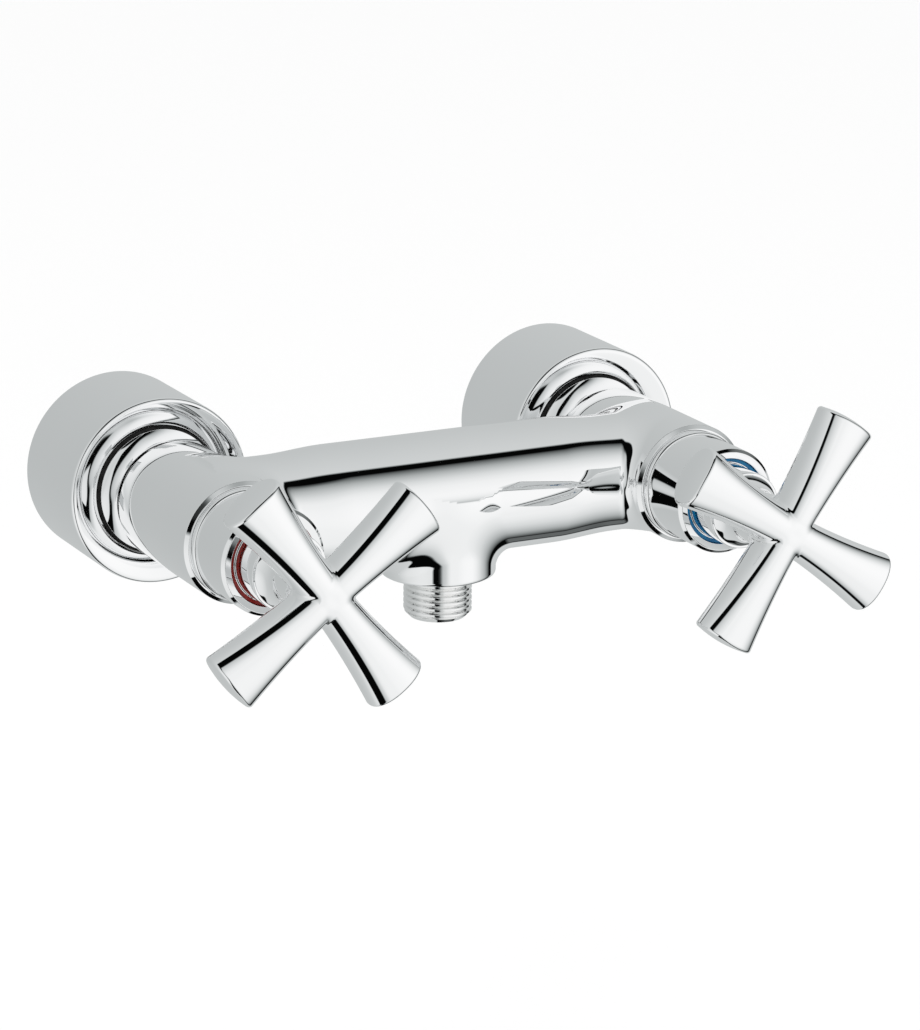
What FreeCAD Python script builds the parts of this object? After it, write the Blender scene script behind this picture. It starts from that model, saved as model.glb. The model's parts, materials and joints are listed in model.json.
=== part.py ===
import FreeCAD, Part
import math
import os

os.makedirs("parts", exist_ok=True)

# Wall-mounted two-handle shower mixer.
# The origin is midway between the two wall inlets, on the finished wall. +X is to the right as
# seen from the front, +Y goes into the wall and +Z is up. A "depth" is a distance out from the
# wall, so it lies at y = -depth. Every turned piece is described by (radius, depth) points.

# The whole mixer
inlet_spacing = 150.0
union_offset = 8.0
half_inch_radius = 10.4775
three_quarter_radius = 13.2205
thread_fit = 0.05
turning_fit = 0.05
face_gap = 0.3
cut_overrun = 2.0
seal_slack = 0.02

# Mixer body: two branches joined by the mixing tube, with the outlet boss below it
tube_neck_drop = 1.1
tube_full_half_length = 36.0
tube_neck_half_length = 57.0
tube_wall = 5.8
tube_blend = 3.8
branch_over_tube = 0.4
branch_thread_wall = 8.1225
branch_wall = 4.6
branch_rear_edge = 0.5
branch_rear_land = 4.3
branch_front_land = 0.5
branch_bevel_radial = 1.2
branch_bevel_axial = 0.9
boss_inset = 1.6
boss_stand = 5.3
boss_blend = 5.0
boss_edge = 2.6
chamber_floor_drop = 1.7
chamber_roof = 9.6
partition_thickness = 3.0
seat_height = 11.7
orifice_radius = 4.8
outlet_bore_radius = 6.8

# Wall flange, a spun cup with a dished front
flange_radius = 29.0
flange_depth = 37.0
flange_wall = 1.2
flange_edge = 1.2
flange_front_land = 1.6
dish_drop = 2.1
dish_sag = 0.31

# Union nut: hexagon behind, grip ring groove, rim and flare in front
nut_wall = 3.3795
nut_rim_gap = 1.0
nut_rim_inset = 1.0
nut_rim_length = 0.8
nut_land_step = 0.5
nut_land_length = 1.2
nut_waist_step = 2.5
nut_neck_step = 2.6
nut_flare_length = 7.5
nut_neck_length = 4.9
nut_engagement = 10.0
nut_hex_flats = 32.0
nut_hex_length = 9.0
nut_lip_clearance = 0.42
grip_ring_section = 1.2
grip_ring_slack = 0.1

# Eccentric wall union
wall_thread_length = 12.0
wall_shoulder_depth = 4.0
union_neck_length = 6.0
union_front_setback = 6.0
union_wall_radius = 13.0
wall_bore_radius = 7.0
union_bore_radius = 9.2

# Sealing washer and union tail
washer_thickness = 2.0
washer_play = 0.3
washer_hole_radius = 8.6
tail_shoulder_step = 1.52
tail_shoulder = 3.0
tail_bore_radius = 7.8

# Outlet nipple
nipple_spigot_radius = 9.0
nipple_throat_length = 2.3
nipple_neck_radius = 9.8
nipple_neck_length = 1.5
nipple_thread_length = 12.2
nipple_chamfer = 1.1
nipple_bore_radius = 7.0
nipple_groove_depth = 1.3
nipple_groove_width = 1.7
nipple_groove_setback = 2.2

# Headwork: the ceramic-disc valve of each side
seal_thickness = 1.6
seal_recess_step = 1.82
headwork_skirt_step = 1.28
headwork_skirt_wall = 1.6
skirt_gap = 1.2
headwork_hex_flats = 24.0
headwork_hex_length = 6.1
nose_radius = 10.5
nose_setback = 0.3
seat_step = 0.6
seat_seal_height = 4.0
seat_seal_hole = 5.0
disc_play = 0.1
disc_thickness = 3.0
disc_ear_width = 3.0
disc_port_inner = 1.8
disc_port_wall = 1.2
disc_port_degrees = 70.0
window_width = 5.0

# Spindle and what holds it
foot_thickness = 3.3
tongue_width = 3.0
tongue_height = 1.2
stem_radius = 4.6
stem_groove_depth = 1.2
stem_groove_width = 1.7
stem_groove_shares = (0.30, 0.55)
stem_tail = 0.8
spline_radius = 4.0
spline_tooth_height = 0.5
spline_teeth = 20
spindle_setback = 1.8
thrust_washer_radius = 8.0
thrust_washer_thickness = 0.8
circlip_thickness = 0.9
circlip_radius = 6.2
circlip_groove_depth = 0.7
circlip_opening_degrees = 70.0
stack_play = 0.1

# Bell cover and index ring
bell_clearance = 0.74
bell_wall = 1.7
bell_bead_step = 0.7
bell_bead_length = 2.2
bell_length = 21.2
bell_bevel_radial = 1.5
bell_bevel_axial = 1.2
bell_lip = 0.7
bell_web_thickness = 3.0
ring_recess_depth = 1.8
ring_width = 1.3
ring_thickness = 2.0
ring_edge = 0.3

# Cross handle
skirt_clearance = 0.75
skirt_start_gap = 0.4
skirt_wall = 1.8
skirt_bore_depth = 6.0
skirt_length = 12.3
skirt_rim_round = 0.8
neck_radius = 8.0
neck_flare_length = 6.2
cross_stand = 22.7
cross_reach = 38.2
arm_hub_half_width = 5.9
arm_tip_half_width = 9.9
arm_hub_half_height = 7.2
arm_tip_half_height = 6.6
arm_swell_power_share = 1.7
arm_end_dome = 0.9
arm_station_shares = (0.0, 0.35, 0.7, 1.05)
stalk_top_share = 0.33
bore_end_gap = 0.5
first_arm_in_drawing = 45.0

# Grub screw, in the skirt between two arms
grub_radius = 2.0
grub_recess = 1.6
grub_setback = 3.6
grub_socket_flats = 2.0
grub_socket_depth = 2.4
grub_turn_degrees = 225.0

# Sides: hot on the left, cold on the right, with the angle of the first arm at rest
sides = {
    "left": {"sign": -1.0, "arm_degrees": 37.0},
    "right": {"sign": 1.0, "arm_degrees": 57.0},
}

# Radii that follow from the sizes above
branch_radius = half_inch_radius + branch_thread_wall
tube_neck_radius = branch_radius - branch_over_tube
tube_radius = tube_neck_radius + tube_neck_drop
tube_bore_radius = tube_radius - tube_wall
chamber_radius = branch_radius - branch_wall
boss_radius = tube_radius - boss_inset
boss_drop = tube_radius + boss_stand
nut_waist_radius = three_quarter_radius + nut_wall
nut_rim_radius = nut_waist_radius + nut_waist_step
nut_land_radius = nut_rim_radius - nut_land_step
nut_neck_radius = nut_rim_radius - nut_neck_step
flange_hole_radius = nut_rim_radius + nut_rim_gap
dish_radius = flange_radius - flange_front_land
washer_radius = three_quarter_radius - washer_play
tail_shoulder_radius = half_inch_radius + tail_shoulder_step
seal_recess_radius = half_inch_radius + seal_recess_step
headwork_skirt_radius = half_inch_radius - headwork_skirt_step
headwork_skirt_bore = headwork_skirt_radius - headwork_skirt_wall
seat_radius = headwork_skirt_radius - seat_step
disc_radius = headwork_skirt_bore - disc_play
disc_port_outer = disc_radius - disc_port_wall
stem_bore_radius = stem_radius + turning_fit
stem_groove_floor = stem_radius - stem_groove_depth
circlip_floor = stem_radius - circlip_groove_depth
spline_root_radius = spline_radius - spline_tooth_height
bell_bore_radius = headwork_hex_flats / math.sqrt(3) + bell_clearance
bell_radius = bell_bore_radius + bell_wall
bell_bead_radius = bell_radius + bell_bead_step
ring_outer_radius = bell_radius - bell_bevel_radial - bell_lip - turning_fit
ring_inner_radius = ring_outer_radius - ring_width
skirt_radius = ring_inner_radius - skirt_clearance
skirt_bore_radius = skirt_radius - skirt_wall

# Depths that follow, from the wall outwards
nut_rim_depth = flange_depth - nut_rim_inset
union_reach = nut_rim_depth - union_front_setback
nut_start_depth = union_reach - nut_engagement
elbow_end_depth = nut_start_depth - union_neck_length
washer_depth = union_reach
shoulder_depth = washer_depth + washer_thickness
shoulder_front = shoulder_depth + tail_shoulder
nut_end_depth = nut_rim_depth + nut_flare_length + nut_neck_length
branch_start_depth = nut_end_depth + face_gap
tube_depth = (branch_start_depth + branch_rear_edge + branch_rear_land + tube_blend
              + tube_neck_radius)
branch_front_depth = (tube_depth + tube_neck_radius + tube_blend + branch_front_land
                      + branch_bevel_axial)
chamber_floor_depth = tube_depth - tube_bore_radius - chamber_floor_drop
socket_end_depth = chamber_floor_depth - partition_thickness
tail_end_depth = socket_end_depth - face_gap
seat_depth = chamber_floor_depth + seat_height
chamber_end_depth = branch_front_depth - chamber_roof
fixed_disc_depth = seat_depth + seat_seal_height
moving_disc_depth = fixed_disc_depth + disc_thickness + turning_fit
foot_depth = moving_disc_depth + disc_thickness + turning_fit
foot_end_depth = foot_depth + foot_thickness
hex_end_depth = branch_front_depth + headwork_hex_length
bell_start_depth = branch_front_depth + face_gap
bell_front_depth = bell_start_depth + bell_length
ring_seat_depth = bell_front_depth - ring_recess_depth
nose_end_depth = ring_seat_depth - nose_setback
thrust_washer_depth = nose_end_depth + stack_play
circlip_depth = thrust_washer_depth + thrust_washer_thickness + stack_play
stem_end_depth = circlip_depth + circlip_thickness + stem_tail
skirt_start_depth = ring_seat_depth + skirt_start_gap
skirt_rim_depth = skirt_start_depth + skirt_length
cross_depth = skirt_rim_depth + cross_stand
spindle_end_depth = cross_depth - arm_hub_half_height - spindle_setback

# Heights that follow
axis_z = -union_offset
boss_bottom = axis_z - boss_drop
spigot_length = boss_stand + tube_wall - nipple_throat_length
spigot_groove_floor = nipple_spigot_radius - nipple_groove_depth


def at(x, depth, z):
    """A point given by its distance out from the wall."""
    return FreeCAD.Vector(x, -depth, z)


def outline(points):
    """Closed list of edges through (a, b) points; one marked "via" is the middle of an arc."""
    edges = []
    start = points[0]
    middle = None
    for point in list(points[1:]) + [points[0]]:
        if len(point) == 3:
            middle = point
            continue
        first = FreeCAD.Vector(start[0], -start[1], 0)
        last = FreeCAD.Vector(point[0], -point[1], 0)
        if middle:
            halfway = FreeCAD.Vector(middle[0], -middle[1], 0)
            edges.append(Part.Arc(first, halfway, last).toShape())
        elif first.distanceToPoint(last) > 0:
            edges.append(Part.makeLine(first, last))
        start = point
        middle = None
    return Part.Wire(edges)


def turned(points, x=0, z=axis_z):
    """Solid of revolution about the line through (x, z) that runs out from the wall."""
    face = Part.Face(outline(points))
    solid = face.revolve(FreeCAD.Vector(0, 0, 0), FreeCAD.Vector(0, 1, 0), 360)
    solid.translate(FreeCAD.Vector(x, 0, z))
    return solid


def rod(radius, start, end, x=0, z=axis_z):
    """Cylinder from one depth to another."""
    return Part.makeCylinder(radius, end - start, at(x, start, z), FreeCAD.Vector(0, -1, 0))


def tube(outer, inner, start, end, x=0, z=axis_z):
    """Ring of rectangular section from one depth to another."""
    return turned([(inner, start), (outer, start), (outer, end), (inner, end)], x, z)


def hexagon(flats, start, end, x=0, z=axis_z):
    """Hexagonal bar from one depth to another, its corners broken by a cone at both ends."""
    corner = flats / math.sqrt(3)
    points = []
    for step in range(6):
        angle = math.radians(60 * step)
        points.append(at(x + corner * math.cos(angle), start, z + corner * math.sin(angle)))
    prism = Part.Face(Part.makePolygon(points + points[:1]))
    prism = prism.extrude(FreeCAD.Vector(0, start - end, 0))
    drop = corner - flats / 2
    chamfered = turned([(0, start), (flats / 2, start), (corner, start + drop / 2),
                        (corner, end - drop / 2), (flats / 2, end), (0, end)], x, z)
    return prism.common(chamfered)


def spun(shape, degrees, x=0, z=axis_z):
    """Copy turned about the side's axis, anticlockwise as seen from the front."""
    copy = shape.copy()
    copy.rotate(at(x, 0, z), FreeCAD.Vector(0, -1, 0), degrees)
    return copy


def inner_arc(rise, run):
    """Radius of the arc that climbs by rise over a run and ends parallel to the axis."""
    return (rise * rise + run * run) / (2 * rise)


def flare(wide, narrow, wide_depth, narrow_depth):
    """Middle point of a concave arc from a wide radius to a narrow one that it meets smoothly."""
    run = narrow_depth - wide_depth
    radius = inner_arc(wide - narrow, abs(run))
    half = math.asin(abs(run) / radius) / 2
    towards_wide = math.copysign(radius * math.sin(half), -run)
    return (narrow + radius * (1 - math.cos(half)), narrow_depth + towards_wide, "via")


def quarter(corner_radius, corner_depth, size, radial, axial):
    """Middle point of a rounded outer corner of the given size, towards radial and axial."""
    inset = size * (1 - math.sqrt(0.5))
    return (corner_radius - radial * inset, corner_depth - axial * inset, "via")


def ring_of_round_section(centre_radius, section, depth, x=0, z=axis_z):
    """O-ring."""
    return Part.makeTorus(centre_radius, section, at(x, depth, z), FreeCAD.Vector(0, -1, 0))


def wall_flange(x):
    lip_depth = flange_depth - dish_drop
    mid_radius = (dish_radius + flange_hole_radius) / 2
    mid_depth = flange_depth - dish_drop / 2
    inside = flange_radius - flange_wall
    return turned([
        (inside, 0), (flange_radius, 0),
        (flange_radius, flange_depth - flange_edge),
        quarter(flange_radius, flange_depth, flange_edge, 1, 1),
        (flange_radius - flange_edge, flange_depth),
        (dish_radius, flange_depth),
        (mid_radius, mid_depth + dish_sag, "via"),
        (flange_hole_radius, lip_depth),
        (flange_hole_radius, lip_depth - flange_wall),
        (mid_radius, mid_depth + dish_sag - flange_wall, "via"),
        (dish_radius, flange_depth - flange_wall),
        (inside, flange_depth - flange_wall),
    ], x)


def s_union(x):
    wall_end = -wall_thread_length

    def swept(radius_wall, radius_mixer):
        rear = Part.Wire(Part.makeCircle(radius_wall, at(x, wall_shoulder_depth, 0),
                                         FreeCAD.Vector(0, -1, 0)))
        front = Part.Wire(Part.makeCircle(radius_mixer, at(x, elbow_end_depth, axis_z),
                                          FreeCAD.Vector(0, -1, 0)))
        return Part.makeLoft([rear, front], True)

    body = rod(half_inch_radius, wall_end, wall_shoulder_depth, x, 0)
    body = body.fuse([swept(union_wall_radius, three_quarter_radius),
                      rod(three_quarter_radius, elbow_end_depth, union_reach, x)])
    body = body.cut(rod(wall_bore_radius, wall_end, wall_shoulder_depth, x, 0))
    body = body.cut(swept(wall_bore_radius, union_bore_radius))
    body = body.cut(rod(union_bore_radius, elbow_end_depth, union_reach, x))
    return body.removeSplitter()


def grip_ring_place():
    """Centre radius and depth of the rubber ring that holds the flange on the nut."""
    depth = nut_rim_depth - nut_rim_length - grip_ring_slack - grip_ring_section
    return flange_hole_radius - grip_ring_section - seal_slack, depth


def flange_ring(x):
    centre_radius, depth = grip_ring_place()
    return ring_of_round_section(centre_radius, grip_ring_section, depth, x)


def union_nut(x):
    centre_radius, ring_depth = grip_ring_place()
    floor = centre_radius - grip_ring_section - seal_slack
    groove_end = nut_rim_depth - nut_rim_length
    groove_start = ring_depth - grip_ring_section - grip_ring_slack
    land_start = groove_start - nut_land_length
    hex_end = nut_start_depth + nut_hex_length
    neck_start = nut_rim_depth + nut_flare_length
    thread = three_quarter_radius + thread_fit
    lip = half_inch_radius + nut_lip_clearance
    lip_depth = shoulder_front + turning_fit
    front = turned([
        (lip, hex_end), (nut_waist_radius, hex_end), (nut_waist_radius, land_start),
        (nut_land_radius, land_start), (nut_land_radius, groove_start),
        (floor, groove_start), (floor, groove_end),
        (nut_rim_radius, groove_end), (nut_rim_radius, nut_rim_depth),
        flare(nut_rim_radius, nut_neck_radius, nut_rim_depth, neck_start),
        (nut_neck_radius, neck_start), (nut_neck_radius, nut_end_depth), (lip, nut_end_depth),
    ], x)
    nut = front.fuse(hexagon(nut_hex_flats, nut_start_depth, hex_end, x))
    nut = nut.cut(rod(lip, nut_start_depth, nut_end_depth, x))
    return nut.cut(rod(thread, nut_start_depth, lip_depth, x)).removeSplitter()


def union_washer(x):
    return tube(washer_radius, washer_hole_radius, washer_depth, shoulder_depth, x)


def union_tail(x):
    return turned([
        (tail_bore_radius, shoulder_depth), (tail_shoulder_radius, shoulder_depth),
        (tail_shoulder_radius, shoulder_front), (half_inch_radius, shoulder_front),
        (half_inch_radius, tail_end_depth), (tail_bore_radius, tail_end_depth),
    ], x)


def branch_outside(x):
    end = branch_front_depth
    return turned([
        (0, branch_start_depth), (branch_radius - branch_rear_edge, branch_start_depth),
        quarter(branch_radius, branch_start_depth, branch_rear_edge, 1, -1),
        (branch_radius, branch_start_depth + branch_rear_edge),
        (branch_radius, end - branch_bevel_axial), (branch_radius - branch_bevel_radial, end),
        (0, end),
    ], x)


def half_tube_outside():
    """Right half of the mixing tube; it necks in slightly before it meets the branch."""
    half_drop = (tube_radius - tube_neck_radius) / 2
    half_span = (tube_neck_half_length - tube_full_half_length) / 2
    swing = inner_arc(half_drop, half_span)
    turn = math.asin(half_span / swing) / 2
    step = swing * math.sin(turn)
    dip = swing * (1 - math.cos(turn))
    start, stop = tube_full_half_length, tube_neck_half_length
    middle = (start + stop) / 2
    wall = [(start, tube_radius), (start + step, tube_radius - dip),
            (middle, tube_radius - half_drop), (stop - step, tube_neck_radius + dip),
            (stop, tube_neck_radius)]
    first, via_first, halfway, via_last, last = [FreeCAD.Vector(x, 0, r) for x, r in wall]
    end = inlet_spacing / 2
    path = [Part.makeLine(FreeCAD.Vector(0, 0, 0), FreeCAD.Vector(0, 0, tube_radius)),
            Part.makeLine(FreeCAD.Vector(0, 0, tube_radius), first),
            Part.Arc(first, via_first, halfway).toShape(),
            Part.Arc(halfway, via_last, last).toShape(),
            Part.makeLine(last, FreeCAD.Vector(end, 0, tube_neck_radius)),
            Part.makeLine(FreeCAD.Vector(end, 0, tube_neck_radius), FreeCAD.Vector(end, 0, 0)),
            Part.makeLine(FreeCAD.Vector(end, 0, 0), FreeCAD.Vector(0, 0, 0))]
    face = Part.Face(Part.Wire(path))
    solid = face.revolve(FreeCAD.Vector(0, 0, 0), FreeCAD.Vector(1, 0, 0), 360)
    solid.translate(at(0, tube_depth, axis_z))
    return solid


def edges_near(shape, test):
    """Edges whose every sampled point passes the test."""
    found = []
    for edge in shape.Edges:
        samples = edge.discretize(Number=9)
        if all(test(point) for point in samples):
            found.append(edge)
    return found


def on_both(first_axis, first_radius, second_axis, second_radius):
    """Test for points that lie on two cylinders; an axis is a distance function."""
    tolerance = face_gap / 10

    def test(point):
        off_first = abs(first_axis(point) - first_radius)
        off_second = abs(second_axis(point) - second_radius)
        return off_first < tolerance and off_second < tolerance

    return test


def from_tube(point):
    return math.hypot(-point.y - tube_depth, point.z - axis_z)


def from_boss(point):
    return math.hypot(point.x, -point.y - tube_depth)


def from_branch(x):
    return lambda point: math.hypot(point.x - x, point.z - axis_z)


def body_outside():
    """One side with its branch blended in, mirrored, and the outlet boss below the middle."""
    half = inlet_spacing / 2
    side = half_tube_outside().fuse(branch_outside(half))
    join = edges_near(side, on_both(from_tube, tube_neck_radius,
                                    from_branch(half), branch_radius))
    side = side.makeFillet(tube_blend, join)
    outside = side.fuse(side.mirror(FreeCAD.Vector(0, 0, 0), FreeCAD.Vector(1, 0, 0)))
    outside = outside.removeSplitter()
    boss = Part.makeCylinder(boss_radius, boss_drop, at(0, tube_depth, boss_bottom))
    outside = outside.fuse(boss)
    blend = edges_near(outside, on_both(from_tube, tube_radius, from_boss, boss_radius))
    outside = outside.makeFillet(boss_blend, blend)
    near = face_gap / 10
    foot = edges_near(outside, lambda point: abs(point.z - boss_bottom) < near
                      and abs(from_boss(point) - boss_radius) < near)
    return outside.makeFillet(boss_edge, foot)


def body_passages():
    """Mixing bore, valve chambers and the way down to the outlet; the seats stand in them."""
    half = inlet_spacing / 2
    inside = Part.makeCylinder(tube_bore_radius, inlet_spacing, at(-half, tube_depth, axis_z),
                               FreeCAD.Vector(1, 0, 0))
    for x in (-half, half):
        inside = inside.fuse(rod(chamber_radius, chamber_floor_depth, chamber_end_depth, x))
    for x in (-half, half):
        inside = inside.cut(rod(branch_radius, socket_end_depth, chamber_floor_depth, x))
        inside = inside.cut(rod(seat_radius, chamber_floor_depth, seat_depth, x))
    spigot_top = spigot_length + face_gap
    foot = at(0, tube_depth, boss_bottom)
    inside = inside.fuse(Part.makeCylinder(outlet_bore_radius, boss_drop, foot))
    return inside.fuse(Part.makeCylinder(nipple_spigot_radius + thread_fit, spigot_top, foot))


def mixer_body():
    body = body_outside().cut(body_passages())
    thread = half_inch_radius + thread_fit
    for x in (-inlet_spacing / 2, inlet_spacing / 2):
        body = body.cut(rod(thread, branch_start_depth, socket_end_depth, x))
        body = body.cut(rod(orifice_radius, socket_end_depth, seat_depth, x))
        body = body.cut(rod(thread, chamber_end_depth, branch_front_depth, x))
        body = body.cut(rod(seal_recess_radius, branch_front_depth - seal_thickness,
                            branch_front_depth, x))
    return body


def outlet_nipple():
    """Nipple screwed up into the boss, with the hose thread below."""
    groove_top = boss_bottom + nipple_groove_setback + nipple_groove_width
    groove_bottom = boss_bottom + nipple_groove_setback
    neck_end = boss_bottom - nipple_neck_length
    bottom = neck_end - nipple_thread_length
    top = boss_bottom + spigot_length
    points = [
        (nipple_bore_radius, top), (nipple_spigot_radius, top),
        (nipple_spigot_radius, groove_top), (spigot_groove_floor, groove_top),
        (spigot_groove_floor, groove_bottom), (nipple_spigot_radius, groove_bottom),
        (nipple_spigot_radius, boss_bottom), (nipple_neck_radius, boss_bottom),
        (nipple_neck_radius, neck_end), (half_inch_radius, neck_end),
        (half_inch_radius, bottom + nipple_chamfer),
        (half_inch_radius - nipple_chamfer, bottom), (nipple_bore_radius, bottom),
    ]
    corners = [FreeCAD.Vector(radius, -tube_depth, z) for radius, z in points]
    face = Part.Face(Part.makePolygon(corners + corners[:1]))
    return face.revolve(at(0, tube_depth, 0), FreeCAD.Vector(0, 0, 1), 360)


def outlet_oring():
    space = nipple_groove_depth + thread_fit
    section = space / 2 - seal_slack
    centre = boss_bottom + nipple_groove_setback + nipple_groove_width / 2
    return Part.makeTorus(spigot_groove_floor + space / 2, section, at(0, tube_depth, centre))


def sector(inner, outer, start, end, degrees, middle_degrees, x):
    """Sector of a ring, centred on the given angle as seen from the front."""
    section = Part.Face(outline([(inner, start), (outer, start), (outer, end), (inner, end)]))
    ring = section.revolve(FreeCAD.Vector(0, 0, 0), FreeCAD.Vector(0, -1, 0), degrees)
    ring.translate(FreeCAD.Vector(x, 0, axis_z))
    return spun(ring, middle_degrees - degrees / 2, x)


def with_ports(disc, start, end, first_degrees, x):
    for turn in (0, 180):
        port = sector(disc_port_inner, disc_port_outer, start, end, disc_port_degrees,
                      first_degrees + turn, x)
        disc = disc.cut(port)
    return disc


def bar_across(width, length, start, end, degrees, x):
    """Flat bar centred on the axis, its length along the given angle."""
    bar = Part.makeBox(length, end - start, width, at(x - length / 2, end, axis_z - width / 2))
    return spun(bar, degrees, x)


def seat_seal(x):
    return tube(disc_radius, seat_seal_hole, seat_depth, fixed_disc_depth, x)


def fixed_disc(x):
    end = fixed_disc_depth + disc_thickness
    disc = rod(disc_radius, fixed_disc_depth, end, x)
    ears = bar_across(disc_ear_width, 2 * headwork_skirt_radius, fixed_disc_depth, end, 0, x)
    ears = ears.common(rod(headwork_skirt_radius, fixed_disc_depth, end, x))
    return with_ports(disc.fuse(ears), fixed_disc_depth, end, 90, x).removeSplitter()


def moving_disc(x):
    end = moving_disc_depth + disc_thickness
    disc = rod(disc_radius, moving_disc_depth, end, x)
    disc = with_ports(disc, moving_disc_depth, end, 0, x)
    slot = bar_across(tongue_width + 2 * disc_play, 2 * disc_radius,
                      end - tongue_height - disc_play, end, 90, x)
    return disc.cut(slot)


def headwork_body(x):
    skirt_start = seat_depth + skirt_gap
    thread_start = chamber_end_depth
    shoulder = foot_end_depth + stack_play
    body = turned([
        (headwork_skirt_bore, skirt_start), (headwork_skirt_radius, skirt_start),
        (headwork_skirt_radius, thread_start), (half_inch_radius, thread_start),
        (half_inch_radius, branch_front_depth), (nose_radius, branch_front_depth),
        (nose_radius, nose_end_depth), (stem_bore_radius, nose_end_depth),
        (stem_bore_radius, shoulder), (headwork_skirt_bore, shoulder),
    ], x)
    hexed = hexagon(headwork_hex_flats, branch_front_depth, hex_end_depth, x)
    body = body.fuse(hexed.cut(rod(stem_bore_radius, branch_front_depth, hex_end_depth, x)))
    slot = bar_across(disc_ear_width + 2 * disc_play, 2 * branch_radius, skirt_start,
                      fixed_disc_depth + disc_thickness + disc_play, 0, x)
    body = body.cut(slot)
    for turn in (45, 135):
        window = bar_across(window_width, 2 * branch_radius,
                            moving_disc_depth + disc_thickness, foot_end_depth, turn, x)
        body = body.cut(window)
    return body.removeSplitter()


def headwork_seal(x):
    section = (seal_recess_radius - half_inch_radius) / 2 - seal_slack
    centre = (seal_recess_radius + half_inch_radius) / 2
    depth = branch_front_depth - seal_thickness / 2
    ring = ring_of_round_section(centre, section, depth, x)
    return ring.common(tube(seal_recess_radius, half_inch_radius,
                            branch_front_depth - seal_thickness, branch_front_depth, x))


def stem_groove_depths():
    run = nose_end_depth - foot_end_depth
    return [foot_end_depth + share * run for share in stem_groove_shares]


def spline_bar(clearance, start, end):
    """Serrated bar on the handle's axis as drawn, or with a clearance the hole that it fits."""
    points = []
    for step in range(2 * spline_teeth):
        radius = (spline_radius if step % 2 else spline_root_radius) + clearance
        angle = math.radians(180 * step / spline_teeth)
        points.append(at(radius * math.cos(angle), start, axis_z + radius * math.sin(angle)))
    face = Part.Face(Part.makePolygon(points + points[:1]))
    return face.extrude(FreeCAD.Vector(0, start - end, 0))


def spindle(x, first_arm):
    points = [(0, foot_depth), (disc_radius, foot_depth), (disc_radius, foot_end_depth),
              (stem_radius, foot_end_depth)]
    for centre in stem_groove_depths():
        first = centre - stem_groove_width / 2
        last = centre + stem_groove_width / 2
        points += [(stem_radius, first), (stem_groove_floor, first),
                   (stem_groove_floor, last), (stem_radius, last)]
    clip_end = circlip_depth + circlip_thickness + stack_play
    points += [(stem_radius, circlip_depth), (circlip_floor, circlip_depth),
               (circlip_floor, clip_end), (stem_radius, clip_end),
               (stem_radius, stem_end_depth), (0, stem_end_depth)]
    shaft = turned(points, x)
    shaft = with_ports(shaft, foot_depth, foot_end_depth, 0, x)
    tongue = bar_across(tongue_width, 2 * disc_port_outer, foot_depth - tongue_height,
                        foot_depth, 90, x)
    splines = at_side(spline_bar(0, stem_end_depth, spindle_end_depth), x, first_arm)
    return shaft.fuse([tongue, splines]).removeSplitter()


def spindle_orings(x):
    space = stem_bore_radius - stem_groove_floor
    rings = [ring_of_round_section(stem_groove_floor + space / 2, space / 2 - seal_slack, centre, x)
             for centre in stem_groove_depths()]
    return Part.makeCompound(rings)


def thrust_washer(x):
    return tube(thrust_washer_radius, stem_bore_radius, thrust_washer_depth,
                thrust_washer_depth + thrust_washer_thickness, x)


def circlip(x):
    end = circlip_depth + circlip_thickness
    clip = tube(circlip_radius, circlip_floor + turning_fit, circlip_depth + turning_fit, end, x)
    gap = sector(0, circlip_radius, circlip_depth, end, circlip_opening_degrees, 90, x)
    return clip.cut(gap)


def bell_cover(x):
    start = bell_start_depth
    bead = bell_bead_length / 2
    front = bell_front_depth
    web_start = ring_seat_depth - bell_web_thickness
    nose = nose_radius + thread_fit
    recess = ring_outer_radius + turning_fit
    return turned([
        (bell_bore_radius, start), (bell_bead_radius - bead, start),
        (bell_bead_radius, start + bead, "via"),
        (bell_bead_radius - bead, start + bell_bead_length),
        (bell_radius, start + bell_bead_length), (bell_radius, front - bell_bevel_axial),
        (bell_radius - bell_bevel_radial, front), (recess, front), (recess, ring_seat_depth),
        (nose, ring_seat_depth), (nose, web_start), (bell_bore_radius, web_start),
    ], x)


def index_ring(x):
    end = ring_seat_depth + ring_thickness
    return turned([
        (ring_inner_radius, ring_seat_depth), (ring_outer_radius, ring_seat_depth),
        (ring_outer_radius, end - ring_edge), (ring_outer_radius - ring_edge, end),
        (ring_inner_radius + ring_edge, end), (ring_inner_radius, end - ring_edge),
    ], x)


def half_section(share):
    """Half oval of an arm on its upper side, closed along its flat, at a share of the reach."""
    swell = share ** arm_swell_power_share
    half_width = arm_hub_half_width + (arm_tip_half_width - arm_hub_half_width) * swell
    half_height = arm_hub_half_height + (arm_tip_half_height - arm_hub_half_height) * swell
    centre = at(share * cross_reach, cross_depth, axis_z)
    side = centre + FreeCAD.Vector(0, 0, half_width)
    front = centre + FreeCAD.Vector(0, -half_height, 0)
    rear = centre + FreeCAD.Vector(0, half_height, 0)
    if half_width >= half_height:
        oval = Part.Ellipse(side, front, centre)
    else:
        oval = Part.Ellipse(front, side, centre)
    first, last = oval.parameter(rear), oval.parameter(front)
    curve = Part.ArcOfEllipse(oval, first, last)
    halfway = curve.value((curve.FirstParameter + curve.LastParameter) / 2)
    if halfway.z < axis_z:
        curve = Part.ArcOfEllipse(oval, last, first)
    return Part.Wire([curve.toShape(), Part.makeLine(front, rear)])


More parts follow.
